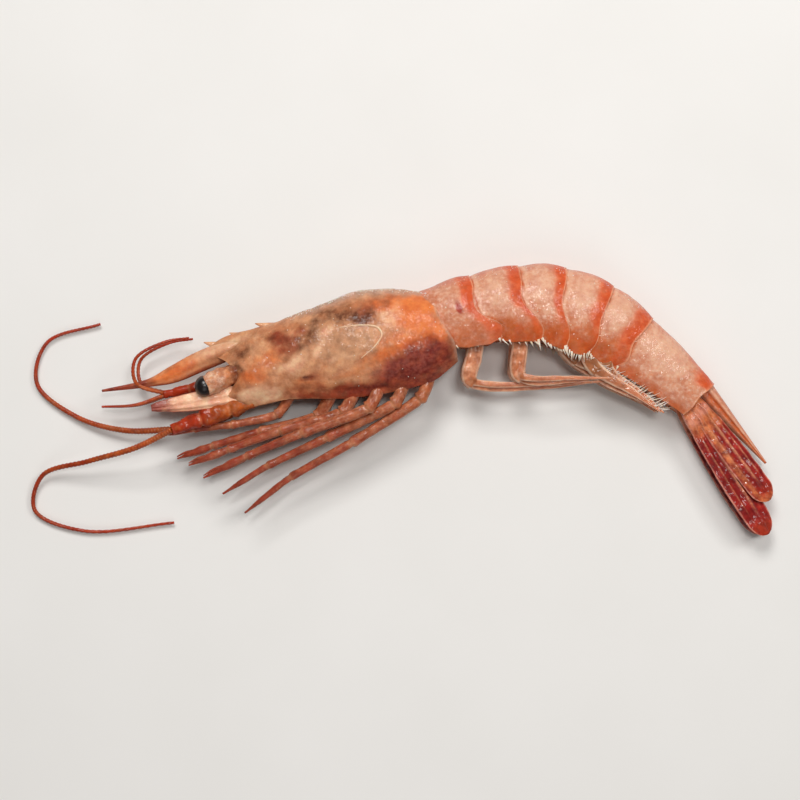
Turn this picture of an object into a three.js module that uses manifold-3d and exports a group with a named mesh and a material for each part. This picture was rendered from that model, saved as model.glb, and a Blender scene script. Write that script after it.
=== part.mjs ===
// A raw red shrimp, whole and in its shell, lying on its right side with the left side up.
// The head points to -X, the back to +Y, and the floor is z = 0. Sizes are in millimetres and degrees.
import * as THREE from "three";
import { mergeVertices } from "three/addons/utils/BufferGeometryUtils.js";
import Module from "manifold-3d";

const wasm = await Module();
wasm.setup();

// Driving dimensions of the whole animal.
const HINGE = new THREE.Vector2(6.8, 27.03); // where carapace and abdomen meet on the back
const CLEARANCE = 0.3; // gap between neighbouring shell pieces
const REST_SINK = 0.5; // how far the soft side flattens where it lies on the floor
const FLOOR_GAP = 0.35; // air under the limbs of the lower side

// Carapace, in its own frame: u runs back from the eye socket, v towards the back of the animal.
const CARAPACE = {
  socket: new THREE.Vector2(-46.1, -20.6), // from the hinge
  pitch: 11.7,
  length: 48.8,
  lowerFront: -3.5, // where the lower edge starts
  lowerRear: 52.2, // where the lower edge ends
  halfWidth: 9.3,
  nose: 0.08, // share of the length over which the front rounds off
  noseLift: 0.24, // share of the height that the lower edge rises there
  noseDrop: 0.084, // share of the height that the back falls there
};
const CARAPACE_BACK = {
  at: [0, 0.27, 0.47, 0.65, 0.82, 0.96, 1],
  v: [9.2, 10.4, 12.1, 13.4, 12.5, 10.4, 9.3],
};
const CARAPACE_BELLY = {
  at: [0, 0.15, 0.3, 0.5, 0.7, 0.88, 1],
  v: [-9.3, -8.7, -9.1, -11.3, -11.9, -11.3, -8],
};
const CARAPACE_WIDTH = {
  at: [0, 0.2, 0.4, 0.62, 0.85, 1],
  v: [6.6, 7.5, 8.6, 9.3, 9.2, 8.7],
};
const CARAPACE_ARCH = { share: 9 / 12, widest: 0.56, round: 2.1, edge: 0.5, belly: 0.06 };
const SOCKET_NOTCH = { spot: [-2.2, -0.6, 6.4], radius: 3.6 };

// Rostrum: a pointed blade along the middle of the back, with three teeth, that lifts again at its tip.
const ROSTRUM_LINE = [[15, 8.2], [7, 7.2], [-1, 5.8], [-8, 4.5], [-15, 2.8], [-21, 2], [-32.5, 2.4]];
const ROSTRUM_HALF_DEPTHS = [2.4, 2.5, 2.6, 2.6, 2.1, 1, 0.3];
const ROSTRUM_HALF_WIDTHS = { rear: 1.5, front: 0.3 };
const TEETH = {
  count: 3,
  first: 11,
  spacing: 6.5,
  length: 4.2,
  root: 1.2,
  tip: 3.2,
  halfLength: 1.4,
  halfWidth: 0.7,
  point: 0.12,
};

// Abdomen: six rings hinged along the back, each with its length and heading.
// The other lists give the height, half width and trailing sweep of the section at each hinge.
const RING_LENGTHS = [10, 12, 11.7, 12.3, 12.3, 21.7];
const RING_HEADINGS = [16.7, 11.5, -2.4, -20.5, -38.7, -46.7];
const HINGE_HEIGHTS = [16.4, 17.8, 19.4, 20, 18.3, 16, 10.8];
const HINGE_WIDTHS = [8.7, 8.7, 8.6, 8.3, 7.7, 6.8, 5.2];
const HINGE_SWEEPS = [0.09, 0.16, 0.2, 0.18, 0.14, 0.08, 0];
const RING_TUCK = 0.4; // each ring's front is this much smaller, as it slips under the one before it
const RING_FLARE = 0.25; // and its rear this much larger
const ABDOMEN_ARCH = { share: 9 / 12, widest: 0.6, round: 2.2, edge: 0.84, belly: 0.16 };

// Tail fan, in its own frame: a runs back from the last ring, b towards the back, c to the side.
const TAIL_HEADING = -53;
const TELSON = { root: [0.6, 3], tip: [22.6, 4], halfWidth: 3.2, halfDepth: 1.5, point: 0.3, taper: 1.3 };
const FAN_BLADES = {
  endopod: { root: [0.7, -0.9], tip: [29.8, -1], side: 2.2, tipSide: 1.2, halfWidth: 2.9, tilt: 14 },
  exopod: { root: [0.7, -3.7], tip: [35.8, -5.2], side: 3.5, tipSide: 2.9, halfWidth: 3.4, tilt: 20 },
};
const FAN_LEAF = { start: 0.17, span: 0.8, power: 0.55 };
const FAN_HALF_THICKNESS = { root: 0.825, tip: 0.33 };
const FAN_FLOOR_ROOM = 1.1; // height that the lower blades keep for their own thickness
const FAN_FLOOR_TILT = 4; // the lower blades lie nearly flat

// Head pieces, in the carapace's frame, with a third number measured from the middle plane to the side.
const EYE = { spot: [-7.6, -1.6, 5.6], radius: 2.5, stalkRoot: [0.5, 0.6, 3.2], stalkRadius: 1.4 };
const SCALE = { root: [-1, -6.2, 4.8], tip: [-21, -4.2, 6.2], halfWidth: 2.3, halfThickness: 0.6 };
const SCALE_LEAF = { start: 0.24, span: 0.7, power: 0.6 };
const ANTENNULE = { root: [0.5, -0.8, 1.9], end: [-17.8, -1.6, 2.1], radius: 1.4, endRadius: 0.75 };
const ANTENNULE_WHIPS = {
  inner: [[-17, -1.6, 2.1], [-25, -2.6, 2.4], [-33, -1.4, 2.2]],
  outer: [[-17, -1.6, 2.1], [-23.5, 2.4, 4.2], [-22.5, 8, 4.6], [-15, 10.6, 4.4], [-9, 10.4, 4]],
};
const ANTENNA = { root: [0.5, -8.2, 3.6], end: [-17.6, -10.2, 3.8], radius: 1.9, endRadius: 1.1 };
// The long whips come down to the floor: points from the hinge, with the height of their middle line.
const ANTENNA_WHIPS = {
  left: [
    [-70, -38.4, 10.5],
    [-82, -41.8, 6.5],
    [-94, -45.5, 2.5],
    [-96, -54, 1.2],
    [-84, -59, 1.2],
    [-62, -57, 1.2],
  ],
  right: [
    [-74, -34.4, 3.4],
    [-86, -31, 1.6],
    [-95.5, -23, 1.2],
    [-93, -13, 1.2],
    [-80, -8.5, 1.2],
  ],
};
const WHIP = { radius: 0.75, tip: 0.35, fine: 0.5, fineTip: 0.3 };

// Limbs under the carapace fold forwards. Headings are measured downwards from straight ahead.
const LEGS = { firstRoot: 22, rootStep: 6, rootV: -8.6, rootOut: 3.4, radius: 1.5, tip: 0.5 };
const LEG_LENGTHS = [7.8, 14, 12, 9];
const LEG_LENGTH_STEPS = [0, 1.3, 1.2, 1.2]; // added for each pair further back
const LEG_HEADINGS = [[46, 3, 5, 8], [48, 5, 8, 10], [51, 9, 11, 15], [54, 15, 14, 20], [56, 21, 18, 26]];
const LEG_OUTS = [1.7, 4.3, 6.6, 5.2, 4.4]; // the forward ones lie in layers
const LEG_SAGS = { left: 0.7, right: 0 }; // limbs of the upper side sink at each joint
const MAXILLIPED = {
  root: [13, -6.6],
  out: 1.7,
  lengths: [7.6, 11, 9, 8],
  headings: [42, 1, -5, -1],
  radius: 1.1,
  tip: 0.5,
};
const JOINT_TENSION = 0.3; // how softly a folded limb turns at its joints

// Swimming limbs under the first five rings: a stout stem, then a thin blade that trails back.
const PLEOPOD = {
  root: 0.74, // depth in the ring where the stem starts
  middle: 0.55, // the stem's point between root and knee
  turn: 2.4, // length of the bend from stem to blade
  turnDrop: 1.44,
  stemShare: 0.5, // of the limb's own curve
  stemHalfWidth: 2,
  stemHalfDepth: 1.35,
  stemStart: 0.25,
  stemPower: 0.6,
  blade: 0.85,
  tip: 0.35,
};
const PLEOPOD_OUTS = [4.4, 4.8, 2.4, 4.8, 4.8]; // from the middle plane, so that folded ones pass each other
const STEM_PLACES = [0.72, 0.6, 0.5, 0.5, 0.5]; // along each ring
const STEM_LENGTHS = [12.4, 12.2, 10.6, 11.3, 8.4];
const STEM_LEANS = [-27, -14, 36, 42, 42]; // degrees back from straight down
const BLADE_LENGTHS = [32, 20, 18, 16, 14];
const BLADE_HEADINGS = [-1, 0, -31, -34, -34];
const BLADE_BENDS = [5, 2, 0, -2, -4];
const BLADE_SHIFTS = [-1, 0.9, 0, 0, 0]; // how far the blade moves to the side, clear of its neighbours

// How finely each form is divided: rings along it and sides around it.
const WELD = 1e-4;
const TRUNK_SIDES = 24;
const DETAIL = {
  carapace: 22,
  ring: 7,
  lastRing: 9,
  rostrum: [14, 10],
  tooth: [3, 6],
  socket: [14, 10],
  telson: [9, 10],
  fan: [11, 10],
  eye: [12, 8],
  eyestalk: [4, 8],
  stalk: [5, 8],
  fineWhip: [10, 5],
  whip: [24, 6],
  scale: [8, 8],
  leg: [13, 6],
  pleopod: [12, 8],
};

const SHELL = { roughness: 0.42, metalness: 0 };
const MATERIALS = {
  carapace: new THREE.MeshStandardMaterial({ ...SHELL, color: "#b5764c" }),
  ring: new THREE.MeshStandardMaterial({ ...SHELL, color: "#dc9273" }),
  fan: new THREE.MeshStandardMaterial({ ...SHELL, color: "#93303a" }),
  limb: new THREE.MeshStandardMaterial({ ...SHELL, color: "#cd7a55" }),
  whip: new THREE.MeshStandardMaterial({ ...SHELL, color: "#b9502e" }),
  eye: new THREE.MeshStandardMaterial({ roughness: 0.12, metalness: 0, color: "#15100f" }),
};

const SIDES = { left: 1, right: -1 };
const ACROSS = new THREE.Vector3(0, 0, 1);
const radians = THREE.MathUtils.degToRad;
const lerp = THREE.MathUtils.lerp;

// A smooth value along 0..1 through a few stops.
function profile(at, values) {
  const curve = new THREE.CubicInterpolant(at, values, 1);
  return (t) => curve.evaluate(t)[0];
}

// The direction of a heading in the XY plane.
function heading(degrees) {
  return new THREE.Vector2(Math.cos(radians(degrees)), Math.sin(radians(degrees)));
}

// The share of its full width that a leaf-shaped blade has at t.
function leafSpread(leaf, t) {
  return Math.sin(Math.PI * (leaf.start + leaf.span * t)) ** leaf.power;
}

// A closed skin: the rings of a sphere's grid, each vertex moved to place(along, around), both 0..1.
function skin(rings, sides, place, centre) {
  const grid = new THREE.SphereGeometry(1, sides, rings + 1);
  const uv = grid.getAttribute("uv");
  const position = grid.getAttribute("position");
  for (let i = 0; i < position.count; i += 1) {
    const row = Math.round((1 - uv.getY(i)) * (rings + 1));
    const along = THREE.MathUtils.clamp((row - 1) / (rings - 1), 0, 1);
    const isPole = row === 0 || row === rings + 1;
    const point = isPole ? centre(along) : place(along, uv.getX(i) % 1);
    position.setXYZ(i, point.x, point.y, point.z);
  }
  return grid;
}

// A geometry as a solid, for cuts and joins.
function solidOf(geometry) {
  const bare = geometry.clone();
  bare.deleteAttribute("normal");
  bare.deleteAttribute("uv");
  const merged = mergeVertices(bare, WELD);
  return new wasm.Manifold(
    new wasm.Mesh({
      numProp: 3,
      vertProperties: new Float32Array(merged.getAttribute("position").array),
      triVerts: new Uint32Array(merged.index.array),
    }),
  );
}

// A solid back as a named mesh.
function meshOf(solid, name, material) {
  const { vertProperties, triVerts } = solid.getMesh();
  const geometry = new THREE.BufferGeometry();
  geometry.setAttribute("position", new THREE.BufferAttribute(vertProperties, 3));
  geometry.setIndex(new THREE.BufferAttribute(triVerts, 1));
  geometry.computeVertexNormals();
  const mesh = new THREE.Mesh(geometry, material);
  mesh.name = name;
  return mesh;
}

// Half a section of the trunk: q runs 0..1 from the back down to the shell's lower edge and in to the belly.
function archPoint(q, arch) {
  if (q > arch.share) {
    const inward = (q - arch.share) / (1 - arch.share);
    const lift = Math.sin((Math.PI / 2) * Math.min(1, 2 * inward));
    return { depth: 1 - arch.belly * lift, across: arch.edge * (1 - inward) };
  }
  const depth = Math.sin((Math.PI / 2) * (q / arch.share)) ** 2;
  if (depth > arch.widest) {
    const lower = (depth - arch.widest) / (1 - arch.widest);
    return { depth, across: 1 - (1 - arch.edge) * lower ** 2 };
  }
  const upper = 1 - depth / arch.widest;
  return { depth, across: (1 - upper ** arch.round) ** (1 / arch.round) };
}

// A trunk piece: a ring gives a dorsal and a ventral point, a half width and the height of the middle plane.
function trunkSkin(ringAt, arch, rings, grow) {
  const grown = (t) => {
    const ring = ringAt(t);
    const down = ring.ventral.clone().sub(ring.dorsal).normalize();
    const end = t === 0 ? -grow : t === 1 ? grow : 0;
    const shift = new THREE.Vector2(-down.y, down.x).multiplyScalar(end);
    return {
      dorsal: ring.dorsal.clone().addScaledVector(down, -grow).add(shift),
      ventral: ring.ventral.clone().addScaledVector(down, grow).add(shift),
      halfWidth: ring.halfWidth + grow,
      middle: ring.middle,
    };
  };
  const at = (ring, depth, z) => {
    const p = ring.dorsal.clone().lerp(ring.ventral, depth);
    return new THREE.Vector3(p.x, p.y, Math.max(z, -grow));
  };
  const place = (t, around) => {
    const ring = grown(t);
    const q = 2 * Math.min(around, 1 - around);
    const { depth, across } = archPoint(q, arch);
    const side = around < 0.5 ? -1 : 1;
    const inwards = q > arch.share ? 2 * grow : 0;
    return at(ring, depth, ring.middle + side * Math.max(0, across * ring.halfWidth - inwards));
  };
  const centre = (t) => at(grown(t), 0.5, ringAt(t).middle);
  return skin(rings, TRUNK_SIDES, place, centre);
}

// A limb: oval rings across a curve, with half sizes from sizeAt(t), the first of them along flat.
function limbSkin(curve, [rings, sides], sizeAt, flat, grow) {
  const frame = (t) => {
    const tangent = curve.getTangent(t).normalize();
    const first = flat.clone().addScaledVector(tangent, -flat.dot(tangent)).normalize();
    const end = t === 0 ? -grow : t === 1 ? grow : 0;
    const centre = curve.getPoint(t).addScaledVector(tangent, end);
    return { centre, first, second: first.clone().cross(tangent) };
  };
  const place = (t, around) => {
    const { centre, first, second } = frame(t);
    const [halfWidth, halfDepth] = sizeAt(t);
    const angle = 2 * Math.PI * around;
    return centre
      .addScaledVector(first, Math.cos(angle) * (halfWidth + grow))
      .addScaledVector(second, Math.sin(angle) * (halfDepth + grow));
  };
  return skin(rings, sides, place, (t) => frame(t).centre);
}

// A round limb that tapers evenly from one radius to another.
function taperSkin(curve, detail, radius, endRadius, grow) {
  const size = (t) => [lerp(radius, endRadius, t), lerp(radius, endRadius, t)];
  return limbSkin(curve, detail, size, ACROSS, grow);
}

const shrimp = new THREE.Group();
let taken = null; // every piece placed so far, grown by the clearance

// Keeps the room of a placed piece.
function occupy(grownSolid) {
  taken = taken ? taken.add(grownSolid) : grownSolid;
}

// Adds a limb made of one or more joined skins, cut clear of everything placed before it.
function addLimb(name, material, skinsAt) {
  const joined = (grow) => skinsAt(grow).map(solidOf).reduce((one, other) => one.add(other));
  const parts = joined(0).subtract(taken).decompose();
  parts.sort((one, other) => other.volume() - one.volume());
  shrimp.add(meshOf(parts[0], name, material));
  occupy(joined(CLEARANCE));
}

// Carapace and rostrum.
const carapaceAxis = heading(CARAPACE.pitch);
const carapaceUp = heading(CARAPACE.pitch + 90);
const carapaceUpwards = new THREE.Vector3(carapaceUp.x, carapaceUp.y, 0);
const carapaceMiddle = CARAPACE.halfWidth - REST_SINK;
const carapaceBack = profile(CARAPACE_BACK.at, CARAPACE_BACK.v);
const carapaceBelly = profile(CARAPACE_BELLY.at, CARAPACE_BELLY.v);
const carapaceWidth = profile(CARAPACE_WIDTH.at, CARAPACE_WIDTH.v);

// A point of the carapace's frame in the XY plane.
function headPoint(u, v) {
  return HINGE.clone().add(CARAPACE.socket).addScaledVector(carapaceAxis, u).addScaledVector(carapaceUp, v);
}

// The same in space, out to one side of the middle plane.
function headSpot([u, v, out], side) {
  const p = headPoint(u, v);
  return new THREE.Vector3(p.x, p.y, carapaceMiddle + side * out);
}

// A section of the carapace, which rounds off at the front.
function carapaceRing(t) {
  const roundOff = Math.max(0, 1 - t / CARAPACE.nose) ** 2;
  const dorsal = headPoint(t * CARAPACE.length, carapaceBack(t));
  const ventral = headPoint(lerp(CARAPACE.lowerFront, CARAPACE.lowerRear, t), carapaceBelly(t));
  return {
    dorsal: dorsal.clone().lerp(ventral, roundOff * CARAPACE.noseDrop),
    ventral: ventral.clone().lerp(dorsal, roundOff * CARAPACE.noseLift),
    halfWidth: carapaceWidth(t) * (1 - roundOff * CARAPACE.noseLift),
    middle: carapaceMiddle,
  };
}

const rostrumCurve = new THREE.CatmullRomCurve3(ROSTRUM_LINE.map(([u, v]) => headSpot([u, v, 0], 0)));
const rostrumStops = ROSTRUM_LINE.map((_, i) => i / (ROSTRUM_LINE.length - 1));
const rostrumHalfDepth = profile(rostrumStops, ROSTRUM_HALF_DEPTHS);

function rostrumSkin(grow) {
  const size = (t) => [rostrumHalfDepth(t), lerp(ROSTRUM_HALF_WIDTHS.rear, ROSTRUM_HALF_WIDTHS.front, t)];
  return limbSkin(rostrumCurve, DETAIL.rostrum, size, carapaceUpwards, grow);
}

// A tooth leans forwards out of the rostrum's upper edge.
function toothSkin(index, grow) {
  const u = TEETH.first - index * TEETH.spacing;
  const [[rearU, rearV], , [frontU, frontV]] = ROSTRUM_LINE;
  const v = lerp(rearV, frontV, (rearU - u) / (rearU - frontU));
  const root = headSpot([u, v + TEETH.root, 0], 0);
  const tip = headSpot([u - TEETH.length, v + TEETH.tip, 0], 0);
  const size = (t) => [lerp(TEETH.halfLength, TEETH.point, t), lerp(TEETH.halfWidth, TEETH.point, t)];
  return limbSkin(new THREE.LineCurve3(root, tip), DETAIL.tooth, size, carapaceUpwards, grow);
}

function carapaceSolid(grow) {
  let solid = solidOf(trunkSkin(carapaceRing, CARAPACE_ARCH, DETAIL.carapace, grow));
  for (const side of Object.values(SIDES)) {
    const notch = headSpot(SOCKET_NOTCH.spot, side);
    const ball = new THREE.SphereGeometry(SOCKET_NOTCH.radius - grow, ...DETAIL.socket);
    solid = solid.subtract(solidOf(ball.translate(notch.x, notch.y, notch.z)));
  }
  solid = solid.add(solidOf(rostrumSkin(grow)));
  for (let i = 0; i < TEETH.count; i += 1) {
    solid = solid.add(solidOf(toothSkin(i, grow)));
  }
  return solid;
}

shrimp.add(meshOf(carapaceSolid(0), "carapace", MATERIALS.carapace));
occupy(carapaceSolid(CLEARANCE));

// Abdomen rings along a curve through the hinges of the back.
const ringCount = RING_LENGTHS.length;
const hinges = [HINGE.clone()];
RING_LENGTHS.forEach((length, i) => {
  hinges.push(hinges[i].clone().addScaledVector(heading(RING_HEADINGS[i]), length));
});
const backCurve = new THREE.SplineCurve(hinges);
const hingeStops = hinges.map((_, i) => i / ringCount);
const heightAt = profile(hingeStops, HINGE_HEIGHTS);
const widthAt = profile(hingeStops, HINGE_WIDTHS);
const sweepAt = profile(hingeStops, HINGE_SWEEPS);

// A section of the abdomen at t, 0 at the first hinge and 1 at the last, made larger by extra.
function abdomenRing(t, extra) {
  const tangent = backCurve.getTangent(t);
  const down = new THREE.Vector2(tangent.y, -tangent.x);
  const height = heightAt(t);
  const dorsal = backCurve.getPoint(t);
  const ventral = dorsal.clone().addScaledVector(down, height).addScaledVector(tangent, height * sweepAt(t));
  return {
    dorsal: dorsal.addScaledVector(down, -extra),
    ventral,
    halfWidth: widthAt(t) + extra,
    middle: widthAt(t) - REST_SINK,
    down,
  };
}

function abdomenSkin(index, grow) {
  const gap = CLEARANCE / RING_LENGTHS[index];
  const ringAt = (t) => {
    const extra = lerp(-RING_TUCK, RING_FLARE, Math.sqrt(t));
    return abdomenRing((index + lerp(gap, 1 - gap, t)) / ringCount, extra);
  };
  const rings = index === ringCount - 1 ? DETAIL.lastRing : DETAIL.ring;
  return trunkSkin(ringAt, ABDOMEN_ARCH, rings, grow);
}

RING_LENGTHS.forEach((_, i) => {
  shrimp.add(meshOf(solidOf(abdomenSkin(i, 0)), `abdomen_ring_${i + 1}`, MATERIALS.ring));
  occupy(solidOf(abdomenSkin(i, CLEARANCE)));
});

// Tail fan: a telson in the middle and two blades on each side.
const tailEnd = abdomenRing(1, 0);
const tailOrigin = tailEnd.dorsal.clone().lerp(tailEnd.ventral, 0.5);
const tailAxis = heading(TAIL_HEADING);
const tailUp = heading(TAIL_HEADING + 90);
const tailUpwards = new THREE.Vector3(tailUp.x, tailUp.y, 0);
const tailForwards = new THREE.Vector3(tailAxis.x, tailAxis.y, 0);

// A point of the tail's frame in space.
function tailSpot([a, b], c) {
  const p = tailOrigin.clone().addScaledVector(tailAxis, a).addScaledVector(tailUp, b);
  return new THREE.Vector3(p.x, p.y, tailEnd.middle + c);
}

addLimb("telson", MATERIALS.ring, (grow) => {
  const curve = new THREE.LineCurve3(tailSpot(TELSON.root, 0), tailSpot(TELSON.tip, 0));
  const size = (t) => [
    lerp(TELSON.halfWidth, TELSON.point, t ** TELSON.taper),
    lerp(TELSON.halfDepth, TELSON.point, t),
  ];
  return [limbSkin(curve, DETAIL.telson, size, ACROSS, grow)];
});

// A blade spreads to the upper side, or lies low on the floor's side.
function fanSkin(blade, side, grow) {
  const room = tailEnd.middle - FLOOR_GAP - FAN_FLOOR_ROOM;
  const reach = (c) => (side > 0 ? c : -Math.min(c, room));
  const tilt = radians(side > 0 ? blade.tilt : FAN_FLOOR_TILT);
  const flat = tailUpwards.clone().applyAxisAngle(tailForwards, -side * tilt);
  const root = tailSpot(blade.root, reach(blade.side));
  const tip = tailSpot(blade.tip, reach(blade.tipSide));
  const size = (t) => [
    blade.halfWidth * leafSpread(FAN_LEAF, t),
    lerp(FAN_HALF_THICKNESS.root, FAN_HALF_THICKNESS.tip, t),
  ];
  return limbSkin(new THREE.LineCurve3(root, tip), DETAIL.fan, size, flat, grow);
}

for (const [sideName, side] of Object.entries(SIDES)) {
  for (const [bladeName, blade] of Object.entries(FAN_BLADES)) {
    addLimb(`uropod_${sideName}_${bladeName}`, MATERIALS.fan, (grow) => [fanSkin(blade, side, grow)]);
  }
}

// Head pieces on both sides.
function headLine(one, other, side) {
  return new THREE.LineCurve3(headSpot(one, side), headSpot(other, side));
}

function headWhip(spots, side) {
  return new THREE.CatmullRomCurve3(spots.map((spot) => headSpot(spot, side)));
}

// A long whip starts inside the end of its stalk.
function floorWhip(spots, side) {
  const points = spots.map(([x, y, z]) => new THREE.Vector3(HINGE.x + x, HINGE.y + y, z));
  return new THREE.CatmullRomCurve3([headSpot(ANTENNA.end, side), ...points]);
}

// The thick first articles of an antenna or antennule.
function stalkSkin(stalk, side, grow) {
  return taperSkin(headLine(stalk.root, stalk.end, side), DETAIL.stalk, stalk.radius, stalk.endRadius, grow);
}

for (const [sideName, side] of Object.entries(SIDES)) {
  const eye = headSpot(EYE.spot, side);
  addLimb(`eye_${sideName}`, MATERIALS.eye, (grow) => [
    new THREE.SphereGeometry(EYE.radius + grow, ...DETAIL.eye).translate(eye.x, eye.y, eye.z),
  ]);
  addLimb(`eyestalk_${sideName}`, MATERIALS.limb, (grow) => {
    const line = headLine(EYE.stalkRoot, EYE.spot, side);
    return [taperSkin(line, DETAIL.eyestalk, EYE.stalkRadius, EYE.stalkRadius, grow)];
  });
  addLimb(`antennule_${sideName}`, MATERIALS.limb, (grow) => [
    stalkSkin(ANTENNULE, side, grow),
    ...Object.values(ANTENNULE_WHIPS).map((spots) =>
      taperSkin(headWhip(spots, side), DETAIL.fineWhip, WHIP.fine, WHIP.fineTip, grow),
    ),
  ]);
  addLimb(`antenna_${sideName}`, MATERIALS.whip, (grow) => [
    stalkSkin(ANTENNA, side, grow),
    taperSkin(floorWhip(ANTENNA_WHIPS[sideName], side), DETAIL.whip, WHIP.radius, WHIP.tip, grow),
  ]);
  addLimb(`antennal_scale_${sideName}`, MATERIALS.limb, (grow) => {
    const size = (t) => [SCALE.halfWidth * leafSpread(SCALE_LEAF, t), SCALE.halfThickness];
    return [limbSkin(headLine(SCALE.root, SCALE.tip, side), DETAIL.scale, size, carapaceUpwards, grow)];
  });
}

// A limb of the head made of straight articles, each with a length and a heading.
function foldedCurve([rootU, rootV], outs, lengths, headings, side) {
  const points = [headSpot([rootU, rootV, outs[0]], side)];
  let u = rootU;
  let v = rootV;
  lengths.forEach((length, i) => {
    u -= length * Math.cos(radians(headings[i]));
    v -= length * Math.sin(radians(headings[i]));
    points.push(headSpot([u, v, outs[i + 1]], side));
  });
  return new THREE.CatmullRomCurve3(points, false, "catmullrom", JOINT_TENSION);
}

function maxillipedSkin(side, grow) {
  const { root, out, lengths, headings, radius, tip } = MAXILLIPED;
  const outs = Array(lengths.length + 1).fill(out);
  return taperSkin(foldedCurve(root, outs, lengths, headings, side), DETAIL.leg, radius, tip, grow);
}

function legSkin(pair, sideName, grow) {
  const root = [LEGS.firstRoot + pair * LEGS.rootStep, LEGS.rootV];
  const lengths = LEG_LENGTHS.map((length, i) => length + pair * LEG_LENGTH_STEPS[i]);
  const rootOut = Math.min(LEG_OUTS[pair], LEGS.rootOut);
  const outs = [rootOut, ...lengths.map((_, i) => LEG_OUTS[pair] - (i + 1) * LEG_SAGS[sideName])];
  const curve = foldedCurve(root, outs, lengths, LEG_HEADINGS[pair], SIDES[sideName]);
  return taperSkin(curve, DETAIL.leg, LEGS.radius, LEGS.tip, grow);
}

for (const [sideName, side] of Object.entries(SIDES)) {
  addLimb(`maxilliped_${sideName}`, MATERIALS.limb, (grow) => [maxillipedSkin(side, grow)]);
  LEG_OUTS.forEach((_, pair) => {
    addLimb(`walking_leg_${sideName}_${pair + 1}`, MATERIALS.limb, (grow) => [legSkin(pair, sideName, grow)]);
  });
}

// Swimming limbs.
function pleopodCurve(index, side) {
  const ring = abdomenRing((index + STEM_PLACES[index]) / ringCount, 0);
  const root = ring.dorsal.clone().lerp(ring.ventral, PLEOPOD.root);
  const stem = ring.down.clone().rotateAround(new THREE.Vector2(), radians(STEM_LEANS[index]));
  const start = heading(BLADE_HEADINGS[index]);
  const end = heading(BLADE_HEADINGS[index] + BLADE_BENDS[index]);
  const knee = root.clone().addScaledVector(stem, STEM_LENGTHS[index]);
  const turn = knee.clone().addScaledVector(stem, PLEOPOD.turnDrop).addScaledVector(start, PLEOPOD.turn);
  const middle = turn.clone().addScaledVector(start, BLADE_LENGTHS[index] / 2);
  const tip = middle.clone().addScaledVector(end, BLADE_LENGTHS[index] / 2);
  const room = ring.middle - FLOOR_GAP - PLEOPOD.stemHalfDepth;
  const stemOut = Math.min(PLEOPOD_OUTS[index], room);
  const bladeOut = Math.min(PLEOPOD_OUTS[index] + BLADE_SHIFTS[index], room);
  const spot = (p, out) => new THREE.Vector3(p.x, p.y, ring.middle + side * out);
  return new THREE.CatmullRomCurve3([
    ...[root, root.clone().lerp(knee, PLEOPOD.middle), knee].map((p) => spot(p, stemOut)),
    ...[turn, middle, tip].map((p) => spot(p, bladeOut)),
  ]);
}

// Half sizes along a swimming limb, across the animal and along it.
function pleopodSize(t) {
  const blade = lerp(PLEOPOD.blade, PLEOPOD.tip, t);
  if (t >= PLEOPOD.stemShare) {
    return [blade, blade];
  }
  const stem = Math.sin(Math.PI * Math.min(1, PLEOPOD.stemStart + t)) ** PLEOPOD.stemPower;
  return [Math.max(PLEOPOD.stemHalfDepth * stem, blade), Math.max(PLEOPOD.stemHalfWidth * stem, blade)];
}

for (const [sideName, side] of Object.entries(SIDES)) {
  STEM_LENGTHS.forEach((_, index) => {
    addLimb(`pleopod_${sideName}_${index + 1}`, MATERIALS.limb, (grow) => [
      limbSkin(pleopodCurve(index, side), DETAIL.pleopod, pleopodSize, ACROSS, grow),
    ]);
  });
}

export default shrimp;
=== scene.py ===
"""Looks of a whole raw red shrimp lying on its side: shell plates, limbs, tail fan, bristles and frost.

Lengths are in millimetres while a piece is drawn, and its mesh is scaled to metres when it is finished.
+X runs to the tail, +Y to the back and +Z up, out of the left side that shows.
"""
import logging
import math
import random
from collections.abc import Callable, Sequence
from dataclasses import dataclass
from enum import Enum
from functools import cached_property
from itertools import pairwise

import bmesh
import bpy
from bmesh.types import BMEdge, BMVert
from bpy.types import Material, Node, NodeSocket, NodeTree
from mathutils import Matrix, Vector, noise
from mathutils.bvhtree import BVHTree


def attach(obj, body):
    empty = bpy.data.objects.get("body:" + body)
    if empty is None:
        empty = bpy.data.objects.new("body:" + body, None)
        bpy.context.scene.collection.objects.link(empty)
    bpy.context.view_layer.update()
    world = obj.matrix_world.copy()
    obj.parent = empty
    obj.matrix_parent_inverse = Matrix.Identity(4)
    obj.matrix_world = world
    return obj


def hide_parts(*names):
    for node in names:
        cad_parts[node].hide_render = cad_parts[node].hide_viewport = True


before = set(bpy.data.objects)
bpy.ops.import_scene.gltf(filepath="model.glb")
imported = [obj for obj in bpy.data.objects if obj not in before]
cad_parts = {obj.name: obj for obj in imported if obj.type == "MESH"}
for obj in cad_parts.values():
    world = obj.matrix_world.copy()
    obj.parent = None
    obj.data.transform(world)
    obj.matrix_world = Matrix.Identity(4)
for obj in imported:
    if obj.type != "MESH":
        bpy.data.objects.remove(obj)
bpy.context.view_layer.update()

BODY = "root"
MM = 0.001
ACROSS = Vector((0, 0, 1))
# A height in millimetres above the whole animal, from which the surfaces are searched downwards.
OVERHEAD = 60
LOG = logging.getLogger("red_shrimp")
# Seeds of the stains' drift, of the hairs and of the frost.
STAIN_SEED = 9
HAIR_SEED = 7
FROST_SEED = 11

Pair = tuple[float, float]
Line = tuple[tuple[float, ...], ...]
Spot = tuple[Vector, Sequence[float]]
Paint = Callable[[float, float], Sequence[float]]


class Side(Enum):
    """The two sides of the animal, as the direction along +Z."""

    LEFT = 1
    RIGHT = -1

    @property
    def word(self) -> str:
        """The side's name as the nodes spell it."""
        return self.name.lower()


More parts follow.
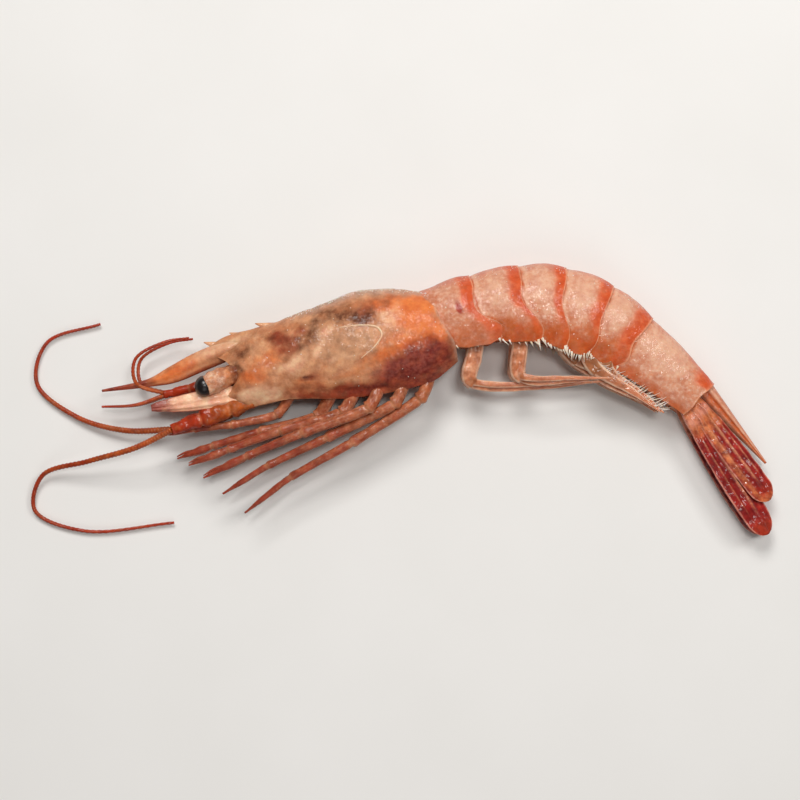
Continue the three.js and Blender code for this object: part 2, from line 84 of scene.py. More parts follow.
class Slot(Enum):
    """Material slots."""

    HEAD_SHELL = "head_shell"
    RING_SHELL = "ring_shell"
    FAN = "fan"
    LIMB = "limb"
    WHIP = "whip"
    EYE = "eye"


class Mark(Enum):
    """Masks painted on the meshes, which the finishes read as attributes."""

    BAND = "band"
    FLUSH = "flush"
    RIM = "rim"
    KEEL = "keel"
    RUST = "rust"
    BRUISE = "bruise"
    BLUSH = "blush"
    GILL = "gill"
    BARE = "bare"
    CREAM = "cream"
    SEAM = "seam"
    ALONG = "along"
    EDGE = "edge"
    JOINT = "joint"
    RIB = "rib"
    SHADE = "shade"


def lerp(one: float, other: float, share: float) -> float:
    """Returns the value a share of the way from one to the other."""
    return one + (other - one) * share


def smooth(low: float, high: float, value: float) -> float:
    """Returns 0 at low, 1 at high and an eased value between, whichever of the two is larger."""
    share = min(max((value - low) / (high - low), 0.0), 1.0)
    return share * share * (3 - 2 * share)


def bell(value: float, middle: float, reach: float) -> float:
    """Returns 1 at the middle, falling off to both sides over the reach."""
    return math.exp(-(((value - middle) / reach) ** 2))


def heading(degrees: float) -> Vector:
    """Returns the direction of a heading in the XY plane."""
    return Vector((math.cos(math.radians(degrees)), math.sin(math.radians(degrees)), 0))


def turned(direction: Vector, degrees: float) -> Vector:
    """Returns a direction turned counter-clockwise in the XY plane."""
    return Matrix.Rotation(math.radians(degrees), 3, "Z") @ direction


def dents(*waves: Pair) -> Callable[[Vector], float]:
    """Returns a relief of soft dents, given the size and the height of each kind."""
    return lambda point: sum(rise * noise.noise(point / size) for size, rise in waves)


def leaf_spread(place: float, start: float, span: float) -> float:
    """Returns the share of its full width that a leaf-shaped blade has at a place."""
    return math.sin(math.pi * (start + span * place)) ** 0.6


@dataclass(frozen=True)
class Profile:
    """A size that changes smoothly along a piece, through a few stops."""

    stops: tuple[float, ...]
    values: tuple[float, ...]

    @classmethod
    def even(cls, *values: float) -> "Profile":
        """Returns a profile with its stops evenly spaced from 0 to 1."""
        return cls(tuple(i / (len(values) - 1) for i in range(len(values))), values)

    def slope(self, index: int) -> float:
        """Returns the slope at a stop, from its neighbours."""
        low, high = max(index - 1, 0), min(index + 1, len(self.stops) - 1)
        return (self.values[high] - self.values[low]) / (self.stops[high] - self.stops[low])

    def at(self, place: float) -> float:
        """Returns the size at a place.

        Args:
            place: Place along the piece; beyond the stops the end values hold.

        Returns:
            The size there.
        """
        place = min(max(place, self.stops[0]), self.stops[-1])
        index = 0
        while index < len(self.stops) - 2 and place > self.stops[index + 1]:
            index += 1
        width = self.stops[index + 1] - self.stops[index]
        share = (place - self.stops[index]) / width
        rise = self.values[index + 1] - self.values[index]
        start, end = self.slope(index) * width, self.slope(index + 1) * width
        cubic = (start + end - 2 * rise) * share**3 + (3 * rise - 2 * start - end) * share**2
        return self.values[index] + start * share + cubic


@dataclass(frozen=True)
class Path:
    """A smooth line through points: centripetal, or with an even tension at its joints."""

    points: tuple[Vector, ...]
    tension: float = 0.0

    def at(self, place: float) -> Vector:
        """Returns the point at a place.

        Args:
            place: Share of the points passed; beyond 0 and 1 the line runs on straight.

        Returns:
            The point there.
        """
        last = len(self.points) - 1
        inside = min(max(place, 0.0), 1.0)
        index = min(int(inside * last), last - 1)
        start, end = self.points[index], self.points[index + 1]
        before = self.points[index - 1] if index > 0 else start * 2 - end
        after = self.points[index + 2] if index + 2 <= last else end * 2 - start
        leave, arrive = self.speeds((before, start, end, after))
        share = inside * last - index
        rise = end - start
        point = start + leave * share + (rise * 3 - leave * 2 - arrive) * share**2
        point = point + (leave + arrive - rise * 2) * share**3
        if place == inside:
            return point
        return point + (leave if place < 0 else arrive) * (place - inside) * last

    def speeds(self, points: Sequence[Vector]) -> tuple[Vector, Vector]:
        """Returns the line's speeds at both ends of a stretch.

        Args:
            points: The point before the stretch, its two ends and the point after it.

        Returns:
            The speed at the first end and at the last.
        """
        before, start, end, after = points
        if self.tension:
            return (end - before) * self.tension, (after - start) * self.tension
        first, middle, last = ((b - a).length ** 0.5 for a, b in pairwise(points))
        leave = (start - before) / first - (end - before) / (first + middle) + (end - start) / middle
        arrive = (end - start) / middle - (after - start) / (middle + last) + (after - end) / last
        return leave * middle, arrive * middle

    def tangent(self, place: float) -> Vector:
        """Returns the direction of the line at a place."""
        step = 0.001
        return (self.at(place + step) - self.at(place - step)).normalized()

    def samples(self, count: int) -> list[Vector]:
        """Returns a number of points along the line."""
        return [self.at(i / (count - 1)) for i in range(count)]


class Skin:
    """A closed skin in millimetres, drawn section by section with the extrude operator."""

    def __init__(self, *marks: Mark) -> None:
        """Starts an empty skin with the masks that it will carry.

        Args:
            marks: The masks, in the order in which the points' values come.
        """
        self.mesh = bmesh.new()
        self.step = self.mesh.verts.layers.int.new("step")
        self.layers = [self.mesh.verts.layers.float.new(mark.value) for mark in marks]

    def loft(self, rings: int, sides: int, place: Callable[[int, float], Spot]) -> None:
        """Draws one closed tube.

        Args:
            rings: Number of sections.
            sides: Number of points round a section.
            place: Gives the point and the masks for a section's number and a share of the way round.
        """
        ring = bmesh.ops.create_circle(self.mesh, segments=sides, radius=1)["verts"]
        for number, vert in enumerate(ring):
            vert[self.step] = number
        edges = list(dict.fromkeys(edge for vert in ring for edge in vert.link_edges))
        first = edges
        for number in range(rings):
            if number:
                edges, ring = self.grow(edges)
            for vert in ring:
                vert.co, values = place(number, vert[self.step] / sides)
                for layer, value in zip(self.layers, values):
                    vert[layer] = value
        self.close(first)
        self.close(edges)

    def grow(self, edges: list[BMEdge]) -> tuple[list[BMEdge], list[BMVert]]:
        """Extrudes a ring of edges and returns the new ring's edges and vertices."""
        made = bmesh.ops.extrude_edge_only(self.mesh, edges=edges)["geom"]
        return tuple([item for item in made if isinstance(item, kind)] for kind in (BMEdge, BMVert))

    def close(self, edges: list[BMEdge]) -> None:
        """Closes a ring of edges with a fan to its middle.

        Args:
            edges: The ring.
        """
        cap = self.grow(edges)[1]
        middle = sum((vert.co for vert in cap), Vector()) / len(cap)
        bmesh.ops.pointmerge(self.mesh, verts=cap, merge_co=middle)

    def relief(self, rise: Callable[[Vector], float]) -> None:
        """Moves every point along its normal.

        Args:
            rise: Gives the height for a place.
        """
        bmesh.ops.recalc_face_normals(self.mesh, faces=self.mesh.faces)
        self.mesh.normal_update()
        moves = [(vert, vert.normal * rise(vert.co)) for vert in self.mesh.verts]
        for vert, move in moves:
            vert.co += move

    def finish(self, name: str, slot: Slot, material: Material, *nodes: str) -> None:
        """Makes the skin a piece of the object.

        Args:
            name: Name of the piece.
            slot: Material slot; not used.
            material: Its finish.
            nodes: The solids that it stands for.
        """
        for vert in self.mesh.verts:
            vert.co.z = max(vert.co.z, 0.0)
        bmesh.ops.recalc_face_normals(self.mesh, faces=self.mesh.faces)
        bmesh.ops.scale(self.mesh, vec=(MM, MM, MM), verts=self.mesh.verts)
        self.mesh.verts.layers.int.remove(self.step)
        data = bpy.data.meshes.new(name)
        self.mesh.to_mesh(data)
        self.mesh.free()
        data.shade_smooth()
        data.materials.append(material)
        piece = bpy.data.objects.new(name, data)
        bpy.context.scene.collection.objects.link(piece)
        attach(piece, BODY)
        if nodes:
            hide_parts(*nodes)
        LOG.info("%s: %d faces", name, len(data.polygons))


@dataclass(frozen=True)
class Rod:
    """A limb: oval sections across a path, with half sizes along one direction and across it."""

    path: Path
    half: Callable[[float], Pair]
    flat: Vector
    rings: int
    sides: int
    end: float = 1.0
    swell: Callable[[float, float, float], Pair] | None = None

    def draw(self, skin: Skin, paint: Paint) -> None:
        """Draws the rod on a skin.

        Args:
            skin: The skin to draw on.
            paint: Gives the masks for a place along the path and an angle round it.
        """
        places = [self.end * number / (self.rings - 1) for number in range(self.rings)]
        frames = [self.section(place) for place in places]

        def place(number: int, around: float) -> Spot:
            """Returns a point of a section and its masks.

            Args:
                number: The section's number.
                around: Share of the way round it.

            Returns:
                The point and the masks.
            """
            centre, first, second, wide, deep = frames[number]
            angle = 2 * math.pi * around
            across, along = math.cos(angle), math.sin(angle)
            if self.swell:
                more_wide, more_deep = self.swell(places[number], across, along)
                wide, deep = wide * more_wide, deep * more_deep
            point = centre + first * (wide * across) + second * (deep * along)
            return point, paint(places[number], angle)

        skin.loft(self.rings, self.sides, place)

    def section(self, place: float) -> tuple[Vector, Vector, Vector, float, float]:
        """Returns a section's frame.

        Args:
            place: Place along the path.

        Returns:
            The middle, the two directions and the two half sizes.
        """
        tangent = self.path.tangent(place)
        first = (self.flat - tangent * self.flat.dot(tangent)).normalized()
        return self.path.at(place), first, first.cross(tangent), *self.half(place)


@dataclass(frozen=True)
class Arch:
    """Half a section of the trunk, from the back down to the shell's lower edge and in to the belly."""

    share: float
    widest: float
    roundness: float
    edge: float
    belly: float

    def at(self, along: float) -> Pair:
        """Returns where a point of the half section lies.

        Args:
            along: Place along the half section.

        Returns:
            The depth and the share of the half width.
        """
        if along > self.share:
            inward = (along - self.share) / (1 - self.share)
            lift = math.sin(math.pi / 2 * min(1.0, 2 * inward))
            return 1 - self.belly * lift, self.edge * (1 - inward)
        depth = math.sin(math.pi / 2 * along / self.share) ** 2
        if depth > self.widest:
            lower = (depth - self.widest) / (1 - self.widest)
            return depth, 1 - (1 - self.edge) * lower**2
        upper = 1 - depth / self.widest
        return depth, (1 - upper**self.roundness) ** (1 / self.roundness)


def half_turn(around: float) -> tuple[int, float]:
    """Returns the side and the place along the half section for a share of the way round."""
    return (-1, 2 * around) if around < 0.5 else (1, 2 * (1 - around))


def linear(code: str) -> tuple[float, float, float, float]:
    """Returns an sRGB hex colour as linear values with full alpha.

    Args:
        code: The colour as # and six digits.

    Returns:
        Red, green, blue and alpha.
    """
    values = (int(code[i : i + 2], 16) / 255 for i in (1, 3, 5))
    red, green, blue = (c / 12.92 if c <= 0.04045 else ((c + 0.055) / 1.055) ** 2.4 for c in values)
    return red, green, blue, 1.0


def per_mm(size: float) -> float:
    """Returns the texture scale that gives features of a size in millimetres."""
    return 1 / (size * MM)


def add_node(tree: NodeTree, kind: str, inputs: dict[str | int, object], **settings: object) -> Node:
    """Adds a shader node with its settings and links.

    Args:
        tree: The material's node tree.
        kind: Type name of the node, after the words that all of them begin with.
        inputs: Values to set or sockets to link, by input name or number.
        settings: Properties to set on it.

    Returns:
        The node.
    """
    node = tree.nodes.new("ShaderNode" + kind)
    for name, value in settings.items():
        setattr(node, name, value)
    for name, value in inputs.items():
        if isinstance(value, NodeSocket):
            tree.links.new(value, node.inputs[name])
        else:
            node.inputs[name].default_value = value
    return node


def new_tree(name: str) -> tuple[Material, NodeTree, NodeSocket]:
    """Starts a material.

    Args:
        name: Its name.

    Returns:
        The material, its node tree and the object coordinates in it.
    """
    material = bpy.data.materials.new(name)
    material.use_nodes = True
    tree = material.node_tree
    tree.nodes.clear()
    return material, tree, add_node(tree, "TexCoord", {}).outputs["Object"]


def end_tree(tree: NodeTree, inputs: dict[str | int, object]) -> None:
    """Ends a material with its shader and its output."""
    shader = add_node(tree, "BsdfPrincipled", inputs)
    add_node(tree, "OutputMaterial", {"Surface": shader.outputs[0]})


def lay_over(
    tree: NodeTree, value: NodeSocket, span: Pair, most: float, below: NodeSocket | Sequence[float], code: str
) -> NodeSocket:
    """Lays a colour over another one where a value is high.

    Args:
        tree: The material's node tree.
        value: The value.
        span: Where the cover starts, and where it is full.
        most: The full cover.
        below: The colour below.
        code: The colour on top.

    Returns:
        The mixed colour.
    """
    ramp = {"Value": value, "From Min": span[0], "From Max": span[1], "To Max": most}
    share = add_node(tree, "MapRange", ramp, interpolation_type="SMOOTHSTEP").outputs[0]
    return add_node(tree, "Mix", {0: share, 6: below, 7: linear(code)}, data_type="RGBA").outputs[2]


@dataclass(frozen=True)
class Marking:
    """A coloured marking where a mask says, with an edge that noise makes ragged."""

    mark: Mark
    colour: str
    ragged: float = 1.0
    grain_mm: float = 2.0
    cover: float = 1.0
    thin: float = 0.0
    soft: float = 0.45

    def paint(self, tree: NodeTree, place: NodeSocket, colour: NodeSocket) -> NodeSocket:
        """Paints the marking over a colour.

        Args:
            tree: The material's node tree.
            place: Object coordinates.
            colour: The colour below.

        Returns:
            The colour with the marking.
        """
        mask = add_node(tree, "Attribute", {}, attribute_name=self.mark.value).outputs["Fac"]
        grains = {"Vector": place, "Scale": per_mm(self.grain_mm), "Detail": 6.0, "Roughness": 0.66}
        grain = add_node(tree, "TexNoise", grains).outputs[0]
        low, high = 1 - self.ragged / 2, 1 + self.ragged / 2
        ramp = {"Value": grain, "From Min": 0.3, "From Max": 0.7, "To Min": low, "To Max": high}
        wear = add_node(tree, "MapRange", ramp).outputs[0]
        worn = add_node(tree, "Math", {0: mask, 1: wear, 2: -self.thin}, operation="MULTIPLY_ADD").outputs[0]
        return lay_over(tree, worn, (0.5 - self.soft, 0.5 + self.soft), self.cover, colour, self.colour)


@dataclass(frozen=True)
class ChitinFinish:
    """Wet chitin over flesh: two mottled tones, pale flecks, ragged markings, fine grain and a water film."""

    name: str
    tones: tuple[str, str]
    fleck: str
    pore: str
    markings: tuple[Marking, ...] = ()
    mottle_mm: float = 4.0
    fleck_mm: float = 2.0
    fleck_cover: float = 0.5
    pore_cover: float = 0.14
    cloud_mm: float = 2.2
    cloud_cover: float = 0.5
    grain_mm: float = 0.8
    grain_depth_mm: float = 0.16
    roughness: Pair = (0.4, 0.6)
    film: float = 0.6
    film_mm: float = 1.8
    film_depth_mm: float = 0.38
    flesh: float = 0.15
    flesh_depth_mm: float = 1.6

    @cached_property
    def material(self) -> Material:
        """The material, which is built when it is first used."""
        material, tree, place = new_tree(self.name)
        fields = []
        for size, detail, rough in (
            (self.mottle_mm, 6.0, 0.62),
            (self.fleck_mm, 4.0, 0.55),
            (self.cloud_mm, 5.0, 0.58),
            (self.grain_mm, 5.0, 0.6),
            (self.film_mm, 2.0, 0.5),
        ):
            inputs = {"Vector": place, "Scale": per_mm(size), "Detail": detail, "Roughness": rough}
            fields.append(add_node(tree, "TexNoise", inputs).outputs[0])
        mottle, flecks, cloud, grain, waves = fields
        colour = lay_over(tree, mottle, (0.36, 0.64), 1.0, linear(self.tones[0]), self.tones[1])
        colour = lay_over(tree, flecks, (0.4, 0.78), self.fleck_cover, colour, self.fleck)
        for marking in self.markings:
            colour = marking.paint(tree, place, colour)
        ramp = {"Value": cloud, "From Min": 0.3, "From Max": 0.7, "To Min": 0.2, "To Max": 0.8}
        shade = add_node(tree, "MapRange", ramp).outputs[0]
        mix = {0: self.cloud_cover, 6: colour, 7: shade}
        colour = add_node(tree, "Mix", mix, data_type="RGBA", blend_type="OVERLAY").outputs[2]
        height = add_node(tree, "Math", {0: mottle, 1: 1.5, 2: grain}, operation="MULTIPLY_ADD").outputs[0]
        reliefs = (0.7, self.grain_depth_mm, height), (1.0, self.film_depth_mm, waves)
        bump, film = (
            add_node(tree, "Bump", {"Strength": strength, "Distance": depth * MM, "Height": rise}).outputs[0]
            for strength, depth, rise in reliefs
        )
        low, high = self.roughness
        ramp = {"Value": flecks, "From Min": 0.35, "From Max": 0.65, "To Min": low, "To Max": high}
        end_tree(tree, {
            "Base Color": lay_over(tree, grain, (0.52, 0.3), self.pore_cover, colour, self.pore),
            "Roughness": add_node(tree, "MapRange", ramp).outputs[0],
            "Normal": bump,
            "Specular IOR Level": 0.12,
            "Coat Weight": self.film,
            "Coat Roughness": 0.1,
            "Coat IOR": 1.4,
            "Coat Normal": film,
            "Subsurface Weight": self.flesh,
            "Subsurface Radius": (1.0, 0.4, 0.25),
            "Subsurface Scale": self.flesh_depth_mm * MM,
        })
        return material


# Head shell: wet moulded chitin, tan with rust, brown and gill-purple showing through from inside, with
# painted highlights among its pale patches and painted shade in the eye's notch.
HEAD_SHELL = ChitinFinish(
    "wet_head_chitin", ("#b8744d", "#cb8f66"), fleck="#d8a47e", pore="#7a4022",
    markings=(
        Marking(Mark.BARE, "#bd8a66", 0.7, 4.0, 0.85),
        Marking(Mark.RUST, "#dc7236", 0.9, 4.5, 0.9),
        Marking(Mark.BLUSH, "#8a2c15", 0.9, 3.5, 0.85),
        # Dark brown blotches, and the painted shade of the eye's notch.
        Marking(Mark.BRUISE, "#481604", 1.3, 2.4, 0.88, 0.0, 0.55),
        Marking(Mark.GILL, "#a8442a", 0.9, 4.5, 0.85),
        Marking(Mark.GILL, "#661a17", 1.1, 2.6, 0.96, 0.2, 0.55),
        Marking(Mark.GILL, "#9a4c3c", 1.8, 1.0, 0.55, 0.5, 0.5),
        # Pale patches, partly pale chitin and partly painted highlights.
        Marking(Mark.CREAM, "#e8b48e", 1.0, 3.0, 0.85),
        Marking(Mark.RIM, "#b8937d", 1.0, 1.2, 0.75),
        Marking(Mark.SEAM, "#efc4a0", 0.2, 1.0),
    ),
    fleck_cover=0.45, mottle_mm=5.0, film=0.34, film_mm=1.4, film_depth_mm=0.3,
)

# Tail rings: thin wet chitin over pale flesh, creamy pink with an orange-red band at each rear margin, a thin
# painted shadow where each ring tucks under the one in front, and pale middles with painted highlights.
RING_SHELL = ChitinFinish(
    "wet_ring_chitin", ("#cf8d6d", "#c57b5a"), fleck="#edc9b3", pore="#a8481f",
    markings=(
        # Orange lower sides, also used for a thin painted shadow line behind the margin of the ring in front.
        Marking(Mark.FLUSH, "#b8561f", 1.0, 3.0, 0.9),
        Marking(Mark.FLUSH, "#b6420c", 1.5, 2.0, 0.55, 0.4),
        Marking(Mark.KEEL, "#cc735a", 1.2, 1.8, 0.75),
        Marking(Mark.BAND, "#d65b2a", 1.2, 1.8, 0.9, 0.0, 0.6),
        Marking(Mark.BAND, "#bb3d10", 1.6, 1.4, 0.6, 0.35, 0.5),
        # Pale fronts, middles and belly of the rings, with painted highlights in the middles.
        Marking(Mark.CREAM, "#dba78a", 0.9, 1.8, 0.88),
        Marking(Mark.BRUISE, "#9c1c04", 0.6, 1.2, 0.9),
        Marking(Mark.RIM, "#e3a27e", 1.0, 1.2, 0.6),
    ),
    # Fine dense pale flecks: partly pale speckle of the chitin, partly painted sheen over the rings.
    mottle_mm=2.6, fleck_mm=0.9, fleck_cover=0.55, cloud_cover=0.3, film=0.5, film_mm=1.3, film_depth_mm=0.28,
)

# Fan blades: thin ribbed chitin, crimson with pale ribs, an orange root and a painted highlight on the
# swollen root.
FAN_BLADE = ChitinFinish(
    "wet_fan_chitin", ("#74080a", "#931811"), fleck="#b03226", pore="#3c080a",
    markings=(
        Marking(Mark.ALONG, "#a8361c", 1.2, 2.5, 0.7),
        Marking(Mark.JOINT, "#d07646", 1.3, 2.2, 0.88),
        Marking(Mark.RIB, "#cc8460", 1.3, 1.6, 0.75),
        # Pale edges, with a painted highlight on the swollen root.
        Marking(Mark.EDGE, "#d78b76", 1.2, 1.4, 0.75),
    ),
    fleck_mm=1.3, fleck_cover=0.4, pore_cover=0.3, cloud_cover=0.6, film=0.7, film_mm=2.4, film_depth_mm=0.45,
    flesh=0.1,
)

# Walking limbs: jointed rods of thin chitin, brownish pink with paler joints and red ends.
LEG_SHELL = ChitinFinish(
    "wet_leg_chitin", ("#94482a", "#ac603b"), fleck="#d69b78", pore="#5d2315",
    markings=(
        Marking(Mark.ALONG, "#8c2f1d", 1.2, 3.0, 0.85),
        Marking(Mark.JOINT, "#c98a64", 1.0, 1.2, 0.4),
        Marking(Mark.EDGE, "#d39270", 1.2, 1.8, 0.5),
    ),
    mottle_mm=2.6, fleck_mm=1.2,
)

# Swimming limbs: soft flattened chitin, tan with pale pink edges, browner towards the tail.
PLEOPOD_SHELL = ChitinFinish(
    "wet_swimmer_chitin", ("#a95f3a", "#bb734e"), fleck="#dfa581", pore="#7a3a1c",
    markings=(
        Marking(Mark.SHADE, "#8b5430", 0.9, 2.4, 0.75),
        Marking(Mark.ALONG, "#cc7a58", 0.8, 2.0, 0.6),
        Marking(Mark.EDGE, "#e9bc9f", 0.6, 1.2, 0.85),
    ),
    mottle_mm=2.4, fleck_mm=1.2,
)

# Antennal scales: thin blades, pinkish tan that turns purple-red towards the front.
SCALE_SHELL = ChitinFinish(
    "wet_scale_chitin", ("#eab48f", "#dc9c78"), fleck="#e2ab93", pore="#7c3222",
    markings=(
        Marking(Mark.ALONG, "#8e322a", 1.1, 2.6, 0.9),
        Marking(Mark.RIB, "#e0a988", 0.8, 1.4, 0.7),
        Marking(Mark.EDGE, "#b05a48", 0.8, 1.4, 0.7),
    ),
    mottle_mm=3.0, fleck_mm=1.3,
)

# Eye stalks: soft wrinkled chitin, orange tan with a wet shine, painted dark at the root for the shade inside
# the eye's notch and speckled with pale painted highlights near the eye.
EYESTALK_SHELL = ChitinFinish(
    "wet_eyestalk_chitin", ("#c98052", "#aa5f38"), fleck="#e2ab86", pore="#6b2a14",
    markings=(
        # Painted shade: dark root inside the eye's notch.
        Marking(Mark.ALONG, "#5a2212", 1.2, 1.4, 0.8),
        # Painted highlights: pale speckles towards the eye.
        Marking(Mark.JOINT, "#eac2a4", 1.8, 0.9, 0.8),
    ),
    mottle_mm=1.8, fleck_mm=1.0, pore_cover=0.3, film_mm=1.0,
)

# Feelers: ringed whips of hard chitin, orange that turns rust red.
FEELER_SHELL = ChitinFinish(
    "wet_feeler_chitin", ("#b1541c", "#983e14"), fleck="#d08050", pore="#5f2210",
    markings=(
        Marking(Mark.ALONG, "#98260c", 1.1, 4.0, 0.9),
        Marking(Mark.JOINT, "#d68f60", 1.2, 1.2, 0.25),
    ),
    mottle_mm=2.8, fleck_mm=1.2,
)

# Bristles: dry bleached chitin hairs, ivory and slightly see-through at the edge.
BRISTLE = ChitinFinish(
    "pale_bristle_chitin", ("#f1ddcb", "#e6c8b0"), fleck="#fbf1e8", pore="#c99a7e",
    mottle_mm=1.5, film=0.2, flesh=0.3,
)


@dataclass(frozen=True)
class CloudedFinish:
    """A plain surface whose colour drifts between two tones, with facets where it has any."""

    name: str
    tones: tuple[str, str]
    cloud_mm: float
    detail: float
    shine: dict[str, float]
    facet_mm: float = 0.0
    facet_depth_mm: float = 0.03

    @cached_property
    def material(self) -> Material:
        """The material, which is built when it is first used."""
        material, tree, place = new_tree(self.name)
        grains = {"Vector": place, "Scale": per_mm(self.cloud_mm), "Detail": self.detail}
        cloud = add_node(tree, "TexNoise", grains).outputs[0]
        mix = {0: cloud, 6: linear(self.tones[0]), 7: linear(self.tones[1])}
        inputs = {"Base Color": add_node(tree, "Mix", mix, data_type="RGBA").outputs[2], **self.shine}
        if self.facet_mm:
            cells = {"Vector": place, "Scale": per_mm(self.facet_mm)}
            facets = add_node(tree, "TexVoronoi", cells).outputs["Distance"]
            relief = {"Strength": 0.4, "Distance": self.facet_depth_mm * MM, "Height": facets}
            inputs["Normal"] = add_node(tree, "Bump", relief, invert=True).outputs[0]
        end_tree(tree, inputs)
        return material


# Compound eye: black glossy cornea with fine facets, which gives one small hard glint.
# The real facets are about 0.05 mm, which would not show, so they are drawn coarser.
CORNEA = CloudedFinish(
    "glossy_facet_cornea", ("#0c0808", "#231a18"), cloud_mm=1.5, detail=4.0, facet_mm=0.22,
    shine={"Roughness": 0.3, "IOR": 1.4, "Coat Weight": 0.3, "Coat Roughness": 0.1},
)

# Frost: small grains of ice, white and a little see-through, with a wet gloss.
FROST = CloudedFinish(
    "frost_grains", ("#f4eee8", "#e6d6c8"), cloud_mm=1.2, detail=3.0,
    shine={"Roughness": 0.25, "IOR": 1.31, "Subsurface Weight": 0.4, "Subsurface Scale": 0.5 * MM},
)

# Floor: matt painted board with a faint cloud in its tone.
FLOOR_PAINT = CloudedFinish(
    "matt_painted_board", ("#e9e6e2", "#e2dfda"), cloud_mm=40, detail=3.0, shine={"Roughness": 0.85}
)


@dataclass(frozen=True)
class HeadFrame:
    """The carapace's own frame: u runs back from the eye socket, v to the back and out to the side."""

    socket: Vector
    pitch: float = 11.7
    middle: float = 8.8

    @property
    def axis(self) -> Vector:
        """Direction of u."""
        return heading(self.pitch)

    @property
    def up(self) -> Vector:
        """Direction of v."""
        return heading(self.pitch + 90)

    def point(self, u: float, v: float, z: float) -> Vector:
        """Returns a place of the frame at a height over the floor."""
        return self.socket + self.axis * u + self.up * v + ACROSS * z

    def spot(self, place: Sequence[float], side: Side) -> Vector:
        """Returns a place given as u, v and the distance out to one side."""
        u, v, out = place
        return self.point(u, v, self.middle + side.value * out)

    def read(self, point: Vector) -> Pair:
        """Returns the u and v of a point."""
        offset = point - self.socket
        return offset.dot(self.axis), offset.dot(self.up)


HINGE = Vector((6.8, 27.03, 0))
HEAD = HeadFrame(socket=HINGE + Vector((-46.1, -20.6, 0)))


@dataclass(frozen=True)
class Patch:
    """A soft oval marking in the carapace's frame, turned by degrees that rise to the rear."""

    u: float
    v: float
    half_length: float
    half_height: float
    turn: float = 0.0
    strength: float = 1.0

    def at(self, u: float, v: float) -> float:
        """Returns how strongly the marking covers a place.

        Args:
            u: Place along the shell.
            v: Place towards the back.

        Returns:
            The cover.
        """
        angle = math.radians(self.turn)
        across, up = u - self.u, v - self.v
        along = across * math.cos(angle) + up * math.sin(angle)
        aside = up * math.cos(angle) - across * math.sin(angle)
        away = math.hypot(along / self.half_length, aside / self.half_height)
        return self.strength * smooth(1.65, 0.25, away)


def head_line(*places: Pair) -> Path:
    """Returns a line in the carapace's frame, on the plane of u and v."""
    return Path(tuple(Vector((u, v, 0)) for u, v in places))


# Stains of the head's shell by kind.
STAINS: dict[Mark, tuple[Patch, ...]] = {
    Mark.BARE: (Patch(26.6, 1.3, 10.5, 4.2, -2),),
    Mark.RUST: (
        Patch(45.5, 5.0, 5.8, 6.4),
        Patch(48.2, -0.5, 4.8, 4.2),
        Patch(38.4, 0.6, 4.6, 2.4, 0, 0.6),
        Patch(3.4, -1.5, 4.2, 2.1, 0, 0.7),
        Patch(40, 8.6, 6, 2.2, 0, 0.75),
        Patch(39, -2.4, 9, 1.8, 10, 0.85),
        Patch(17, -6.6, 6.5, 1.8, -8, 0.4),
        Patch(9, 1.2, 4.5, 2.6, 10, 0.5),
        Patch(27, -5.4, 6, 1.6, 0, 0.4),
    ),
    Mark.BLUSH: (
        Patch(12.8, 4.8, 4.2, 2.5, -32, 0.95),
        Patch(16.6, 6.8, 2.6, 1.4, 0, 0.6),
        Patch(17, -5, 3.0, 1.4, 0, 0.7),
        Patch(24, -10.2, 13, 2.0, -12, 1.0),
        Patch(34.5, 8.6, 5, 1.2, 0, 0.5),
        Patch(46, -1.8, 5, 1.2, 8, 0.45),
        Patch(38, 9.8, 7, 1.6, 0, 0.4),
        Patch(3.4, -1.5, 3.4, 1.8, 0, 0.4),
    ),
    Mark.BRUISE: (
        Patch(30.6, 7.3, 6.0, 2.0, -6, 0.95),
        Patch(24, 8.6, 6, 1.7, 14, 0.6),
        Patch(2.4, 4.3, 2.4, 1.8, 0, 0.75),
        # Painted shade: the dark shadow of the eye's notch under the rostrum, on the shell's front edge.
        Patch(0.6, 1.2, 1.3, 2.0, 20, 0.7),
        Patch(18.2, 4.6, 4.4, 1.8, 30, 0.6),
        Patch(17.2, -4.8, 1.6, 0.9, 0, 0.8),
        Patch(31, 3.4, 3, 0.7, 0, 0.35),
        Patch(9, 6.8, 3.5, 1.2, -20, 0.4),
        Patch(10.5, 0.8, 4, 2, 10, 0.28),
    ),
    Mark.GILL: (
        Patch(42.3, -6.8, 11.6, 4.6, 14, 1.05),
        Patch(43, -11, 9, 2.2, 10, 0.85),
        Patch(31, -9.9, 8, 1.9, 0, 0.85),
        Patch(49, -8, 5, 2.5, 0, 0.7),
    ),
    # Pale patches: pale chitin, with painted highlights where pale glints fall.
    Mark.CREAM: (
        Patch(14.2, -0.9, 3.2, 1.9, 25, 0.8),
        # Painted light: this low front patch is made stronger to make up for the weaker light there.
        Patch(5.2, -6.6, 4.8, 2.0, -6, 1.4),
        Patch(39.4, 5.8, 3.2, 2.2, 0, 0.55),
        Patch(23.1, 4.9, 2.6, 1.1, 10, 0.7),
        Patch(27, -1.8, 6, 1.0, -5, 0.45),
        Patch(20.5, 1.6, 3.2, 1.0, 50, 0.6),
        Patch(1.5, 7.6, 4.5, 1.1, 5, 0.5),
    ),
}


@dataclass(frozen=True)
class Groove:
    """A groove in the head's shell: a line in the carapace's frame, its depth and its half width."""

    line: tuple[Pair, ...]
    depth: float
    reach: float


